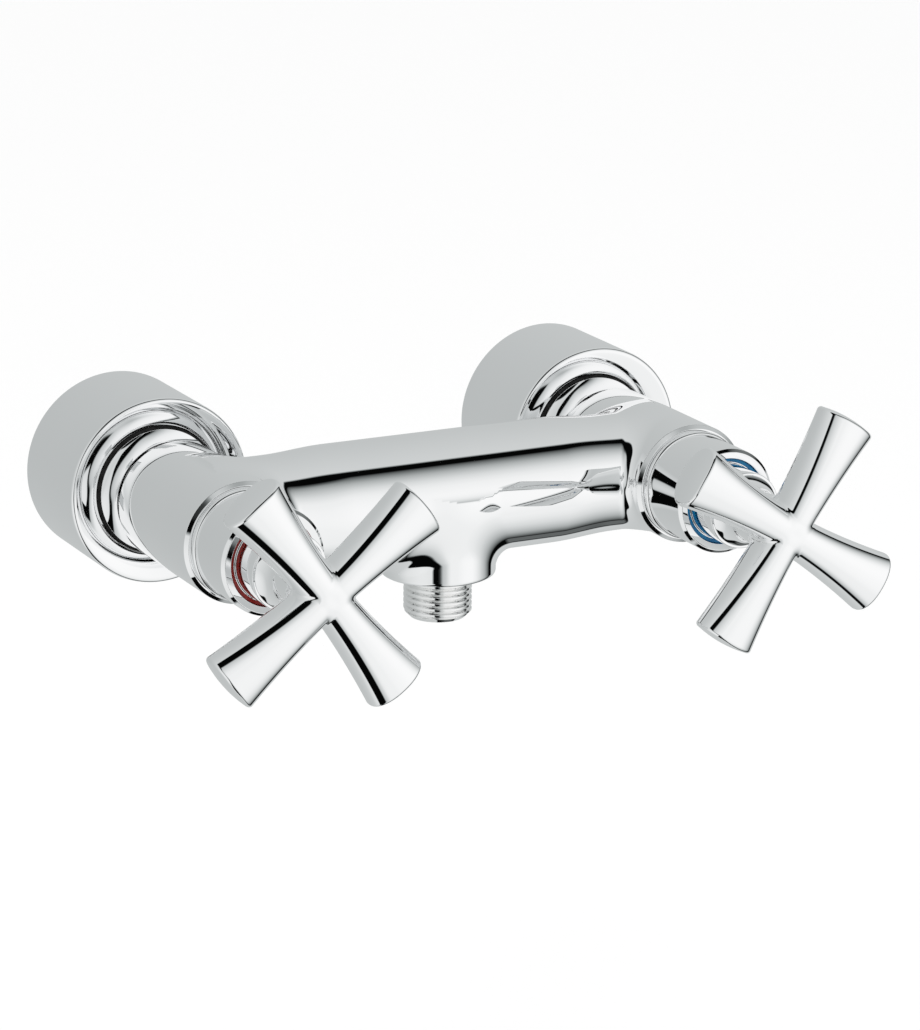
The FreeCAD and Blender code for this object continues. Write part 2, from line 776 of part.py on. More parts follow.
def cross_arms():
    """Four arms that swell towards their tips, mirrored from half of one arm.

    Half an arm ends on the plane midway to its neighbour and on the domed surface, turned
    about the handle's axis, that all the tips share.
    """
    low = cross_reach - arm_end_dome
    rear = cross_depth - arm_hub_half_height
    front = cross_depth + arm_hub_half_height
    tips = turned([(0, rear - cut_overrun), (low, rear - cut_overrun), (low, rear),
                   (cross_reach, cross_depth, "via"), (low, front),
                   (low, front + cut_overrun), (0, front + cut_overrun)])
    far = 2 * cross_reach
    corners = [at(0, rear - cut_overrun, axis_z), at(far, rear - cut_overrun, axis_z),
               at(far, rear - cut_overrun, axis_z + far)]
    wedge = Part.Face(Part.makePolygon(corners + corners[:1]))
    wedge = wedge.extrude(FreeCAD.Vector(0, rear - front - 2 * cut_overrun, 0))
    half_arm = Part.makeLoft([half_section(share) for share in arm_station_shares], True)
    shape = half_arm.common(wedge).common(tips)
    centre = at(0, cross_depth, axis_z)
    for normal in (FreeCAD.Vector(0, 0, 1), FreeCAD.Vector(1, 0, -1), FreeCAD.Vector(1, 0, 1)):
        shape = shape.fuse(shape.mirror(centre, normal))
    return spun(shape, first_arm_in_drawing)


def handle_stalk():
    """Skirt over the index ring, concave cone and neck under the cross."""
    hub_rear = cross_depth - arm_hub_half_height
    neck_start = skirt_rim_depth + neck_flare_length
    rim_inner = skirt_radius - skirt_rim_round
    neck_top = cross_depth - arm_hub_half_height * stalk_top_share
    return turned([
        (0, skirt_start_depth), (skirt_radius, skirt_start_depth),
        (skirt_radius, skirt_rim_depth - skirt_rim_round),
        quarter(skirt_radius, skirt_rim_depth, skirt_rim_round, 1, 1),
        (rim_inner, skirt_rim_depth),
        flare(rim_inner, neck_radius, skirt_rim_depth, neck_start),
        (neck_radius, neck_start), (neck_radius, hub_rear),
        (arm_hub_half_width, neck_top), (0, neck_top),
    ])


def cross_handle(x, first_arm):
    """Cast handle, drawn on the middle of the mixer and then moved to its side."""
    handle = cross_arms().fuse(handle_stalk())
    handle = handle.cut(rod(skirt_bore_radius, skirt_start_depth,
                            skirt_start_depth + skirt_bore_depth))
    handle = handle.cut(spline_bar(turning_fit, skirt_start_depth,
                                   spindle_end_depth + bore_end_gap))
    centre, outward = grub_place()
    handle = handle.cut(Part.makeCylinder(grub_radius + thread_fit,
                                          skirt_radius + cut_overrun, centre, outward))
    return at_side(handle, x, first_arm)


def grub_place():
    """Start and direction of the grub screw's centre line on the handle as drawn."""
    angle = math.radians(first_arm_in_drawing + grub_turn_degrees)
    centre = at(0, skirt_rim_depth - grub_setback, axis_z)
    return centre, FreeCAD.Vector(math.cos(angle), 0, math.sin(angle))


def grub_screw(x, first_arm):
    centre, outward = grub_place()
    start = centre + outward * (spline_radius + turning_fit)
    grub_length = skirt_radius - grub_recess - spline_radius - turning_fit
    screw = Part.makeCylinder(grub_radius, grub_length, start, outward)
    corner = grub_socket_flats / math.sqrt(3)
    across = outward.cross(FreeCAD.Vector(0, 1, 0))
    mouth = start + outward * grub_length
    corners = []
    for step in range(6):
        angle = math.radians(60 * step)
        corners.append(mouth + across * (corner * math.cos(angle))
                       + FreeCAD.Vector(0, corner * math.sin(angle), 0))
    socket = Part.Face(Part.makePolygon(corners + corners[:1]))
    screw = screw.cut(socket.extrude(outward * -grub_socket_depth))
    return at_side(screw, x, first_arm)


def at_side(shape, x, first_arm):
    """The handle or its screw, turned to its angle at rest and moved to its side."""
    placed = spun(shape, first_arm - first_arm_in_drawing)
    placed.translate(FreeCAD.Vector(x, 0, 0))
    return placed


def save(node, shape):
    shape.exportStep(os.path.join("parts", node + ".step"))
    volumes = [round(solid.Volume) for solid in shape.Solids]
    print(node, "valid" if shape.isValid() else "not valid", "solids", volumes)


side_pieces = {
    "wall_flange": wall_flange, "flange_ring": flange_ring, "s_union": s_union,
    "union_nut": union_nut, "union_washer": union_washer, "union_tail": union_tail,
    "seat_seal": seat_seal, "fixed_disc": fixed_disc, "moving_disc": moving_disc,
    "headwork_body": headwork_body, "headwork_seal": headwork_seal,
    "spindle_orings": spindle_orings, "thrust_washer": thrust_washer, "circlip": circlip,
    "bell_cover": bell_cover, "index_ring": index_ring,
}

save("mixer_body", mixer_body())
save("outlet_nipple", outlet_nipple())
save("outlet_oring", outlet_oring())
for side, place in sides.items():
    side_x = place["sign"] * inlet_spacing / 2
    for piece, make in side_pieces.items():
        save(side + "_" + piece, make(side_x))
    save(side + "_spindle", spindle(side_x, place["arm_degrees"]))
    save(side + "_cross_handle", cross_handle(side_x, place["arm_degrees"]))
    save(side + "_grub_screw", grub_screw(side_x, place["arm_degrees"]))
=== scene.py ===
import json
import math

import bmesh
import bpy
import numpy as np
from mathutils import Matrix, Vector


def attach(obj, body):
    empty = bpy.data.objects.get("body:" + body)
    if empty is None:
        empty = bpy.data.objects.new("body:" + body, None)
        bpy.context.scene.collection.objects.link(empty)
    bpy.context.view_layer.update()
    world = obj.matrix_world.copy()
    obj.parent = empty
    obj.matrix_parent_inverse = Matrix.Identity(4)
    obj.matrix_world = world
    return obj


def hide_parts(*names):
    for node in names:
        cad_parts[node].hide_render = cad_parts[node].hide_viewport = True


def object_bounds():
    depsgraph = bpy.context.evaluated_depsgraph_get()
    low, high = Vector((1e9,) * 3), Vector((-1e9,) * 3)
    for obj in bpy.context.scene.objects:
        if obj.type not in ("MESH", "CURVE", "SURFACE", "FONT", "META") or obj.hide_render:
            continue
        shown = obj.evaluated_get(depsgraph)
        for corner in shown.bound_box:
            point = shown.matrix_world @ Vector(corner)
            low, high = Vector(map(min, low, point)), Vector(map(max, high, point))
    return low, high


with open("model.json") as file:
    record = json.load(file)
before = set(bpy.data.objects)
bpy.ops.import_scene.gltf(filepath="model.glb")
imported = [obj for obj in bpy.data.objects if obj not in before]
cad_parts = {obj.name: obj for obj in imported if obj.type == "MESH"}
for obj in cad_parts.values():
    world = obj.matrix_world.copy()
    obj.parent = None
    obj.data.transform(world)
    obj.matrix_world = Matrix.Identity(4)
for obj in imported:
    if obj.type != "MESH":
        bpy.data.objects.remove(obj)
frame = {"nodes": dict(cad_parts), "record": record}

cad_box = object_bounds()
MM = 0.001

# sizes, in millimetres
SIDE = 75.0  # half the spacing of the two inlets
SIDES = {
    "left": {"x": -SIDE, "first_arm": 37.0, "body": "hot_handle", "index": "index_red"},
    "right": {"x": SIDE, "first_arm": 57.0, "body": "cold_handle", "index": "index_blue"},
}
AXIS_Z = -8.0  # the branches' axis, below the inlets' axis

TUBE_DEPTH = 75.5
TUBE_RADIUS = 19.3
TUBE_NECK_RADIUS = 18.2
TUBE_FULL_HALF = 36.0
TUBE_NECK_HALF = 57.0
TUBE_BLEND = 3.9
BRANCH_RADIUS = 18.6
BRANCH_START = 48.7
BRANCH_FRONT = 98.9
BRANCH_BEVEL = (1.2, 0.9)  # off the radius and the depth
BRANCH_BORE = 10.53
CHAMBER_REAR = 57.3
CHAMBER_FRONT = 89.3
ORIFICE_RADIUS = 4.8
RECESS_RADIUS = 12.3
RECESS_FLOOR = 97.3
BOSS_RADIUS = 17.7
BOSS_BOTTOM = -32.6
BOSS_BLEND = 5.0
BOSS_EDGE = 2.6
BOSS_BORE = 9.05
BOSS_BORE_DEPTH = 9.0
BOSS_PASSAGE = 4.0
REAR_CUT = 49.4  # depths where the blended surface ends and the turned ends begin
FRONT_CUT = 97.7

FLANGE_RADIUS = 29.0
FLANGE_DEPTH = 37.0
FLANGE_EDGE = 1.2
FLANGE_DIAGONAL = 0.8485  # to the middle of the rounded edge, from its centre
FLANGE_WALL = 1.2
FLANGE_HOLE = 20.1
DISH_RADIUS = 27.4
DISH_MIDDLE = 36.26  # depth of the dish halfway between its rim and the hole
DISH_INNER = 34.9

NUT_BORE = 10.9
NUT_WAIST = 16.6
NUT_LAND = 18.6
NUT_LAND_START = 31.5
NUT_GROOVE = 17.7
NUT_GROOVE_START = 32.7
NUT_RIM = 19.1
NUT_RIM_START = 35.2
NUT_FLARE_START = 36.0
NUT_NECK = 16.5
NUT_NECK_START = 43.5
NUT_FRONT = 48.4
NUT_HEX_FLATS = 32.0
NUT_HEX_BORE = 13.27
NUT_HEX_START = 20.0
NUT_HEX_END = 29.0
NUT_HEX_POINTS = 48

BELL_RADIUS = 16.3
BELL_BORE = 14.6
BELL_HOLE = 10.55
BELL_START = 99.2
BELL_FRONT = 120.4
BELL_BEVEL = 1.0
BEAD_FOOT = 15.9
BEAD_MIDDLE = (17.0, 100.3)
BEAD_END = 101.4
WEB_REAR = 115.6
WEB_FRONT = 118.3
LIP_OUTER = 12.12
LIP_INNER = 11.85
LIP_FRONT = 119.15
INDEX_SEAT = 13.35
INDEX_RADIUS = 13.3
INDEX_FRONT = 119.2
INDEX_EDGE = 0.2

THREAD_RADIUS = 10.4775
THREAD_PITCH = 1.814
THREAD_DEPTH = 1.162
THREAD_RUNOUT = 1.6
THREAD_SHARPNESS = 1.6  # how steep its flanks are
THREAD_CREST = 0.35  # how much wider its crests are than its grooves
PIPE_BORE = 7.0
NIPPLE_NECK = 9.8
NIPPLE_SPIGOT = 9.0
NIPPLE_SPIGOT_TOP = -8.8
NIPPLE_NECK_END = 1.5
NIPPLE_THREAD = 12.2
NIPPLE_LEAD_IN = 1.9
NIPPLE_BEVEL = 0.9
UNION_RADIUS = 13.2205
UNION_BORE = 9.2
UNION_FRONT = 30.0
UNION_SHOULDER = 13.0
CRANK_START = 4.0
CRANK_END = 14.0
WALL_THREAD = 12.0
WALL_LEAD_IN = 1.1

CROSS_DEPTH = 154.0
CROSS_REACH = 38.2
ARM_HUB_WIDTH = 5.9
ARM_TIP_WIDTH = 9.9
ARM_HUB_HEIGHT = 7.2
ARM_TIP_HEIGHT = 6.6
ARM_POWER = 1.7
ARM_SECTION = 2.4  # power of the arms' oval section: 2 is an ellipse, more is fuller
ARM_CUT = 35.4  # where an arm's surface ends and its domed tip is added
ARM_DOME = 0.9
ARM_EDGE = 0.85
HUB_FILLET = 1.0
HUB_RELIEF = 0.33
HUB_SPREAD = 2.9
NECK_RADIUS = 8.0
NECK_FILLET = 2.5
NECK_TOP = -3.0  # inside the hub, from the arms' plane
NECK_CUT = 139.0
NECK_START = 137.5
SKIRT_RADIUS = 11.75
SKIRT_START = 119.0
SKIRT_RIM = 131.3
SKIRT_EDGE = 0.8
SKIRT_BORE = 10.2
SKIRT_FLOOR = 125.0
SOCKET_RADIUS = 4.1
SOCKET_END = 145.0

turns = 192
body_cell = 0.8
handle_cell = 0.65
thread_steps = 14  # rows in one pitch of a thread
tip_steps = 9  # rows round the edge of an arm's tip
RELAX_ROUNDS = 4
FLAT = 0.01  # a rim that spreads less than this along an axis lies across it


# materials
GRAIN_SCALE = 900.0
GRAIN_HEIGHT = 0.00005  # metres


def material(name):
    mat = bpy.data.materials.new(name)
    mat.use_nodes = True
    nodes = mat.node_tree.nodes
    shader = nodes["Principled BSDF"]
    return mat, nodes, mat.node_tree.links, shader


def map_range(tree, source, *limits):
    """A value moved from one range to another, 0 to 1 where it isn't given."""
    node = tree.nodes.new("ShaderNodeMapRange")
    for socket, limit in zip(("From Min", "From Max", "To Min", "To Max"), limits):
        node.inputs[socket].default_value = limit
    tree.links.new(source, node.inputs["Value"])
    return node.outputs["Result"]


def make_material(name, first, second, metallic, rough, bump=0.02, gloss=0.5, patches=400.0,
                  haze=60.0):
    """Two near colours in soft patches, a range of roughness and fine bumps."""
    mat, nodes, links, shader = material(name)
    shader.inputs["Metallic"].default_value = metallic
    shader.inputs["Specular IOR Level"].default_value = gloss
    place = nodes.new("ShaderNodeTexCoord")

    def noise(scale, detail):
        node = nodes.new("ShaderNodeTexNoise")
        node.inputs["Scale"].default_value = scale
        node.inputs["Detail"].default_value = detail
        links.new(place.outputs["Object"], node.inputs["Vector"])
        return node.outputs["Fac"]

    if bump:
        grain = nodes.new("ShaderNodeBump")
        grain.inputs["Strength"].default_value = bump
        grain.inputs["Distance"].default_value = GRAIN_HEIGHT
        links.new(noise(GRAIN_SCALE, 3.0), grain.inputs["Height"])
        links.new(grain.outputs["Normal"], shader.inputs["Normal"])
    mix = nodes.new("ShaderNodeValToRGB")
    for element, position, colour in zip(mix.color_ramp.elements, (0.35, 0.65), (first, second)):
        element.position = position
        element.color = (*colour, 1.0)
    links.new(noise(patches, 5.0), mix.inputs["Fac"])
    links.new(mix.outputs["Color"], shader.inputs["Base Color"])
    links.new(map_range(mat.node_tree, noise(haze, 4.0), 0.3, 0.7, *rough),
              shader.inputs["Roughness"])
    return mat


# bright plating: a trace of haze, a slightly uneven polish, no grain
PLATING = {"bump": 0.0, "patches": 25.0, "haze": 40.0}
# two colours, metallic, the range of roughness, and what differs from the usual
MATERIALS = {
    "chrome": ((0.955, 0.958, 0.962), (0.968, 0.970, 0.974), 1.0, (0.012, 0.03), PLATING),
    "chrome_thread": ((0.90, 0.90, 0.895), (0.94, 0.94, 0.94), 1.0, (0.015, 0.035), PLATING),
    "brass_raw": ((0.66, 0.50, 0.24), (0.78, 0.62, 0.34), 1.0, (0.18, 0.36), {}),
    "rubber_black": ((0.008, 0.008, 0.008), (0.02, 0.02, 0.02), 0.0, (0.45, 0.65),
                     {"bump": 0.08, "gloss": 0.12}),
    "fibre_seal": ((0.20, 0.07, 0.04), (0.36, 0.15, 0.10), 0.0, (0.6, 0.8), {"bump": 0.4}),
    "ceramic_disc": ((0.84, 0.83, 0.79), (0.90, 0.89, 0.86), 0.0, (0.10, 0.22), {}),
    "steel_small": ((0.48, 0.48, 0.49), (0.62, 0.62, 0.63), 1.0, (0.22, 0.40), {}),
    "index_red": ((0.26, 0.014, 0.010), (0.33, 0.020, 0.014), 0.0, (0.06, 0.14), {"gloss": 0.3}),
    "index_blue": ((0.002, 0.17, 0.41), (0.003, 0.25, 0.52), 0.0, (0.06, 0.14), {"gloss": 0.3}),
}
looks = {name: make_material(name, *facts, **more) for name, (*facts, more) in MATERIALS.items()}


def add_object(name, data):
    obj = bpy.data.objects.new(name, data)
    bpy.context.scene.collection.objects.link(obj)
    return obj


def put_in_scene(mesh, slot, body, node):
    """The mesh as a piece that replaces a node and rides on a body."""
    obj = add_object(mesh.name, mesh)
    obj.data.materials.append(looks[slot])
    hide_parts(node)
    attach(obj, body)


def smooth_piece(name, points, faces, normals, slot, body, node):
    """Piece from points in millimetres, with its exact normals."""
    mesh = bpy.data.meshes.new(name)
    mesh.from_pydata((points * MM).tolist(), [], faces)
    mesh.polygons.foreach_set("use_smooth", [True] * len(mesh.polygons))
    mesh.normals_split_custom_set_from_vertices(normals.tolist())
    put_in_scene(mesh, slot, body, node)


def flat_piece(name, points, faces, slot, body, node):
    """Faceted piece, with its faces turned outwards."""
    mesh = bpy.data.meshes.new(name)
    build = bmesh.new()
    verts = [build.verts.new(Vector(p) * MM) for p in points.tolist()]
    for face in faces:
        build.faces.new([verts[k] for k in face])
    bmesh.ops.remove_doubles(build, verts=build.verts[:], dist=1e-7)
    bmesh.ops.recalc_face_normals(build, faces=build.faces[:])
    build.to_mesh(mesh)
    build.free()
    put_in_scene(mesh, slot, body, node)


# turned profiles
def line(a, b):
    return ("line", np.array(a, float), np.array(b, float))


def arc(a, via, b):
    """Circular arc through three points, as centre, radius and angles."""
    (ax, ay), (bx, by), (cx, cy) = a, via, b
    d = 2 * (ax * (by - cy) + bx * (cy - ay) + cx * (ay - by))
    ux = ((ax * ax + ay * ay) * (by - cy) + (bx * bx + by * by) * (cy - ay)
          + (cx * cx + cy * cy) * (ay - by)) / d
    uy = ((ax * ax + ay * ay) * (cx - bx) + (bx * bx + by * by) * (ax - cx)
          + (cx * cx + cy * cy) * (bx - ax)) / d
    radius = math.hypot(ax - ux, ay - uy)
    first = math.atan2(ay - uy, ax - ux)
    mid = math.atan2(by - uy, bx - ux)
    last = math.atan2(cy - uy, cx - ux)
    sweep = (last - first) % (2 * math.pi)
    if (mid - first) % (2 * math.pi) > sweep:
        sweep -= 2 * math.pi
    return ("arc", np.array([ux, uy]), radius, first, sweep)


def piece_length(piece):
    if piece[0] == "line":
        return float(np.linalg.norm(piece[2] - piece[1]))
    return abs(piece[2] * piece[4])


def piece_at(piece, length):
    """Point and forward direction at a distance along a piece of the profile."""
    if piece[0] == "line":
        way = (piece[2] - piece[1]) / piece_length(piece)
        return piece[1] + way * length, way
    _, centre, radius, first, sweep = piece
    sense = math.copysign(1.0, sweep)
    angle = first + sense * length / radius
    point = centre + radius * np.array([math.cos(angle), math.sin(angle)])
    return point, sense * np.array([-math.sin(angle), math.cos(angle)])


def profile(points, rounding=0.12, closed=True):
    """Rows (radius, depth, normal) of an outline; its corners are rounded.

    A point is (radius, depth) or (radius, depth, rounding of its corner), and
    (radius, depth, "via") is the middle of an arc between its neighbours. The normals point
    out of a closed outline, and to the right of the direction of an open one.
    """
    corners, pieces = [], []
    pending = last = None
    for item in list(points) + ([points[0]] if closed else []):
        if item[-1] == "via":
            pending = item[:2]
            continue
        here = item[:2]
        if last is not None:
            pieces.append(arc(last, pending, here) if pending else line(last, here))
            corners.append(item[2] if len(item) > 2 else rounding)
        last = here
        pending = None
    count = len(pieces)
    trims = [[0.0, 0.0] for _ in pieces]
    blends = []
    for k in range(count):
        follow = (k + 1) % count
        if follow == 0 and not closed:
            blends.append(None)
            continue
        _, out_way = piece_at(pieces[k], piece_length(pieces[k]))
        _, in_way = piece_at(pieces[follow], 0.0)
        turn = math.acos(max(-1.0, min(1.0, float(np.dot(out_way, in_way)))))
        if turn < 0.02 or corners[k] <= 0:
            blends.append(None)
            continue
        cut = corners[k] * math.tan(turn / 2)
        cut = min(cut, 0.45 * piece_length(pieces[k]), 0.45 * piece_length(pieces[follow]))
        trims[k][1] = cut
        trims[follow][0] = cut
        blends.append((follow, turn))
    rows = []

    def add(point, way):
        rows.append((point[0], point[1], way[1], -way[0]))

    for k, item in enumerate(pieces):
        full = piece_length(item)
        start, stop = trims[k][0], full - trims[k][1]
        steps = 1
        if item[0] == "arc":
            steps = max(2, int(math.ceil(abs(item[4]) / math.radians(5))))
        for step in range(steps + 1):
            point, way = piece_at(item, start + (stop - start) * step / steps)
            if rows and math.hypot(rows[-1][0] - point[0], rows[-1][1] - point[1]) < 1e-6:
                continue
            add(point, way)
        if blends[k]:
            follow, turn = blends[k]
            a, way_a = piece_at(item, full - trims[k][1])
            b, way_b = piece_at(pieces[follow], trims[follow][0])
            corner, _ = piece_at(item, full)
            steps = max(2, int(round(turn / math.radians(22))))
            for step in range(1, steps):
                t = step / steps
                point = (1 - t) ** 2 * a + 2 * t * (1 - t) * corner + t * t * b
                way = way_a * (1 - t) + way_b * t
                add(point, way / np.linalg.norm(way))
    if closed and math.hypot(rows[0][0] - rows[-1][0], rows[0][1] - rows[-1][1]) < 1e-6:
        rows.pop()
    rows = np.array(rows)
    after = np.roll(rows, -1, axis=0)
    if closed and np.sum(rows[:, 0] * after[:, 1] - after[:, 0] * rows[:, 1]) < 0:
        rows[:, 2:] *= -1
    return rows


def ring_faces(height, count):
    """Quads between rows of count points each; the last row joins the first."""
    faces = []
    for r in range(height):
        s = (r + 1) % height
        for c in range(count):
            d = (c + 1) % count
            faces.append((r * count + c, s * count + c, s * count + d, r * count + d))
    return faces


def skin_of(points, normals):
    """Points, faces and normals from rows of them; the faces' winding suits the normals."""
    faces = ring_faces(len(points), turns)
    points, normals = np.concatenate(points), np.concatenate(normals)
    sample = np.array(faces[:: max(1, len(faces) // 400)])
    a, b, c = (points[sample[:, k]] for k in range(3))
    flat = np.cross(b - a, c - a)
    if np.sum(flat * normals[sample[:, 0]]) < 0:
        faces = [face[::-1] for face in faces]
    return points, faces, normals


def flare_middle(wide, narrow, wide_depth, narrow_depth):
    """Middle point of a flare: an arc that leaves the narrow end along the axis."""
    run = narrow_depth - wide_depth
    rise = wide - narrow
    radius = (rise * rise + run * run) / (2 * rise)
    half = math.asin(abs(run) / radius) / 2
    return (narrow + radius * (1 - math.cos(half)),
            narrow_depth + math.copysign(radius * math.sin(half), -run))


# turned pieces
def flange_rows():
    edge, inside = FLANGE_RADIUS - FLANGE_EDGE, FLANGE_DEPTH - FLANGE_WALL
    half = (DISH_RADIUS + FLANGE_HOLE) / 2
    return profile([
        (edge, 0.0), (FLANGE_RADIUS, 0.0, 0.15), (FLANGE_RADIUS, FLANGE_DEPTH - FLANGE_EDGE, 0.0),
        (edge + FLANGE_DIAGONAL, FLANGE_DEPTH - FLANGE_EDGE + FLANGE_DIAGONAL, "via"),
        (edge, FLANGE_DEPTH, 0.0), (DISH_RADIUS, FLANGE_DEPTH, 0.35), (half, DISH_MIDDLE, "via"),
        (FLANGE_HOLE, DISH_INNER, 0.3), (FLANGE_HOLE, DISH_INNER - FLANGE_WALL, 0.2),
        (half, DISH_MIDDLE - FLANGE_WALL, "via"), (DISH_RADIUS, inside, 0.0), (edge, inside, 0.3),
    ])


def nut_rows():
    middle = flare_middle(NUT_RIM, NUT_NECK, NUT_FLARE_START, NUT_NECK_START)
    return profile([
        (NUT_BORE, NUT_HEX_END), (NUT_WAIST, NUT_HEX_END, 0.1), (NUT_WAIST, NUT_LAND_START, 0.3),
        (NUT_LAND, NUT_LAND_START, 0.3), (NUT_LAND, NUT_GROOVE_START, 0.1),
        (NUT_GROOVE, NUT_GROOVE_START, 0.1), (NUT_GROOVE, NUT_RIM_START, 0.1),
        (NUT_RIM, NUT_RIM_START, 0.2), (NUT_RIM, NUT_FLARE_START, 0.25), (*middle, "via"),
        (NUT_NECK, NUT_NECK_START, 0.0), (NUT_NECK, NUT_FRONT, 0.25), (NUT_BORE, NUT_FRONT, 0.1),
    ])


def bell_rows():
    return profile([
        (BELL_BORE, BELL_START, 0.1), (BEAD_FOOT, BELL_START, 0.0), (*BEAD_MIDDLE, "via"),
        (BEAD_FOOT, BEAD_END, 0.35), (BELL_RADIUS, BEAD_END, 0.2),
        (BELL_RADIUS, BELL_FRONT - BELL_BEVEL, 0.35), (BELL_RADIUS - BELL_BEVEL, BELL_FRONT, 0.3),
        (INDEX_SEAT, BELL_FRONT - 0.25, 0.2), (INDEX_SEAT, WEB_FRONT, 0.05),
        (LIP_OUTER, WEB_FRONT, 0.0), (LIP_OUTER, LIP_FRONT, 0.08), (LIP_INNER, LIP_FRONT, 0.08),
        (LIP_INNER, WEB_FRONT, 0.05), (BELL_HOLE, WEB_FRONT, 0.1), (BELL_HOLE, WEB_REAR, 0.1),
        (BELL_BORE, WEB_REAR, 0.3),
    ])


def ring_rows():
    side = INDEX_FRONT - INDEX_EDGE
    return profile([
        (LIP_OUTER, WEB_FRONT), (INDEX_RADIUS, WEB_FRONT), (INDEX_RADIUS, side, 0.1),
        (INDEX_RADIUS - INDEX_EDGE, INDEX_FRONT, 0.1), (LIP_OUTER + INDEX_EDGE, INDEX_FRONT, 0.1),
        (LIP_OUTER, side, 0.1),
    ], rounding=0.05)


def hexagon_points(x):
    """Hexagon with its corners broken by a cone at both ends, and a round bore."""
    count, half = NUT_HEX_POINTS, NUT_HEX_FLATS / 2
    drop = NUT_HEX_FLATS / math.sqrt(3) - half
    angle = np.arange(count) * 2 * math.pi / count
    hexed = half / np.cos((angle + math.pi / 6) % (math.pi / 3) - math.pi / 6)
    bore = np.full(count, NUT_HEX_BORE)
    rows = [(bore, NUT_HEX_END), (bore, NUT_HEX_START)]
    cone = np.linspace(0, 1, 5)
    for share in cone:
        rows.append((np.minimum(hexed, half + drop * share), NUT_HEX_START + drop / 2 * share))
    for share in cone[::-1]:
        rows.append((np.minimum(hexed, half + drop * share), NUT_HEX_END - drop / 2 * share))
    points = [np.stack([x + radius * np.cos(angle), np.full(count, -depth),
                        AXIS_Z + radius * np.sin(angle)], 1) for radius, depth in rows]
    faces = [(a, d, c, b) for a, b, c, d in ring_faces(len(rows), count)]
    return np.concatenate(points), faces


def helix_rows(start, end, lead_in):
    """Rows of a screw thread between two places along its axis; radius varies round a row.

    The thread runs out at its start, and a cone, lead_in deep, cuts it down at its end.
    """
    steps = max(4, int(round((end - start) / (THREAD_PITCH / thread_steps))))
    place = np.linspace(start, end, steps + 1)[:, None]
    angle = (np.arange(turns) / turns)[None, :]

    def height(along):
        wave = 1.0 - 4.0 * np.abs((along / THREAD_PITCH + angle) % 1.0 - 0.5)
        flank = np.clip(THREAD_SHARPNESS * (wave + THREAD_CREST), -1, 1)
        groove = 0.5 - 0.5 * np.sin(0.5 * math.pi * flank)
        fade = np.clip((along - start) / THREAD_RUNOUT, 0, 1)
        return np.minimum(THREAD_RADIUS - THREAD_DEPTH * groove * fade,
                          THREAD_RADIUS - lead_in + (end - along))

    step = 0.01
    before, after = np.maximum(place - step, start), np.minimum(place + step, end)
    slope = (height(after) - height(before)) / (after - before)
    size = np.sqrt(1 + slope ** 2)
    return height(place), place[:, 0], 1 / size, -slope / size


def as_part(rows):
    return rows[:, 0][:, None], rows[:, 1], rows[:, 2][:, None], rows[:, 3][:, None]


def stacked(parts, origin, out, across):
    """Points, faces and normals of parts turned about an axis through origin.

    A part is (radii, places, and the normals' two components). A radius is one for its
    row, or one for each point. The parts follow one another round the outline.
    """
    origin, out, across = (np.array(v, float) for v in (origin, out, across))
    angle = np.arange(turns) * 2 * math.pi / turns
    ring = np.cos(angle)[:, None] * across + np.sin(angle)[:, None] * np.cross(out, across)
    points, normals = [], []
    for part in parts:
        for radius, place, outwards, onwards in zip(*part):
            points.append(origin + radius[:, None] * ring + place * out)
            normals.append(outwards[:, None] * ring + onwards[:, None] * out)
    return skin_of(points, normals)


def lathe(rows, x):
    """A closed profile turned about the branch axis of one side."""
    return stacked([as_part(rows)], (x, 0.0, AXIS_Z), (0, -1, 0), (1, 0, 0))


def nipple():
    """Threaded outlet, along -Z below the boss, where its places start."""
    top, neck_end = 0.0, NIPPLE_NECK_END
    bottom = neck_end + NIPPLE_THREAD
    thread = helix_rows(neck_end + 0.3, bottom, NIPPLE_LEAD_IN)
    upper = profile([
        (PIPE_BORE, NIPPLE_SPIGOT_TOP), (NIPPLE_SPIGOT, NIPPLE_SPIGOT_TOP),
        (NIPPLE_SPIGOT, top, 0.0), (NIPPLE_NECK, top, 0.1), (NIPPLE_NECK, neck_end, 0.15),
        (NIPPLE_NECK + 0.4, neck_end + 0.05, 0.1), (THREAD_RADIUS, neck_end + 0.3, 0.0),
    ], closed=False)
    lower = profile([
        (THREAD_RADIUS - NIPPLE_LEAD_IN, bottom, 0.0), (8.4, bottom, 0.0),
        (PIPE_BORE + NIPPLE_BEVEL, bottom, 0.15), (PIPE_BORE, bottom - NIPPLE_BEVEL, 0.25),
        (PIPE_BORE, NIPPLE_SPIGOT_TOP, 0.0),
    ], closed=False)
    return stacked([as_part(upper), thread, as_part(lower[1:-1])],
                   (0.0, -TUBE_DEPTH, BOSS_BOTTOM), (0, 0, -1), (1, 0, 0))


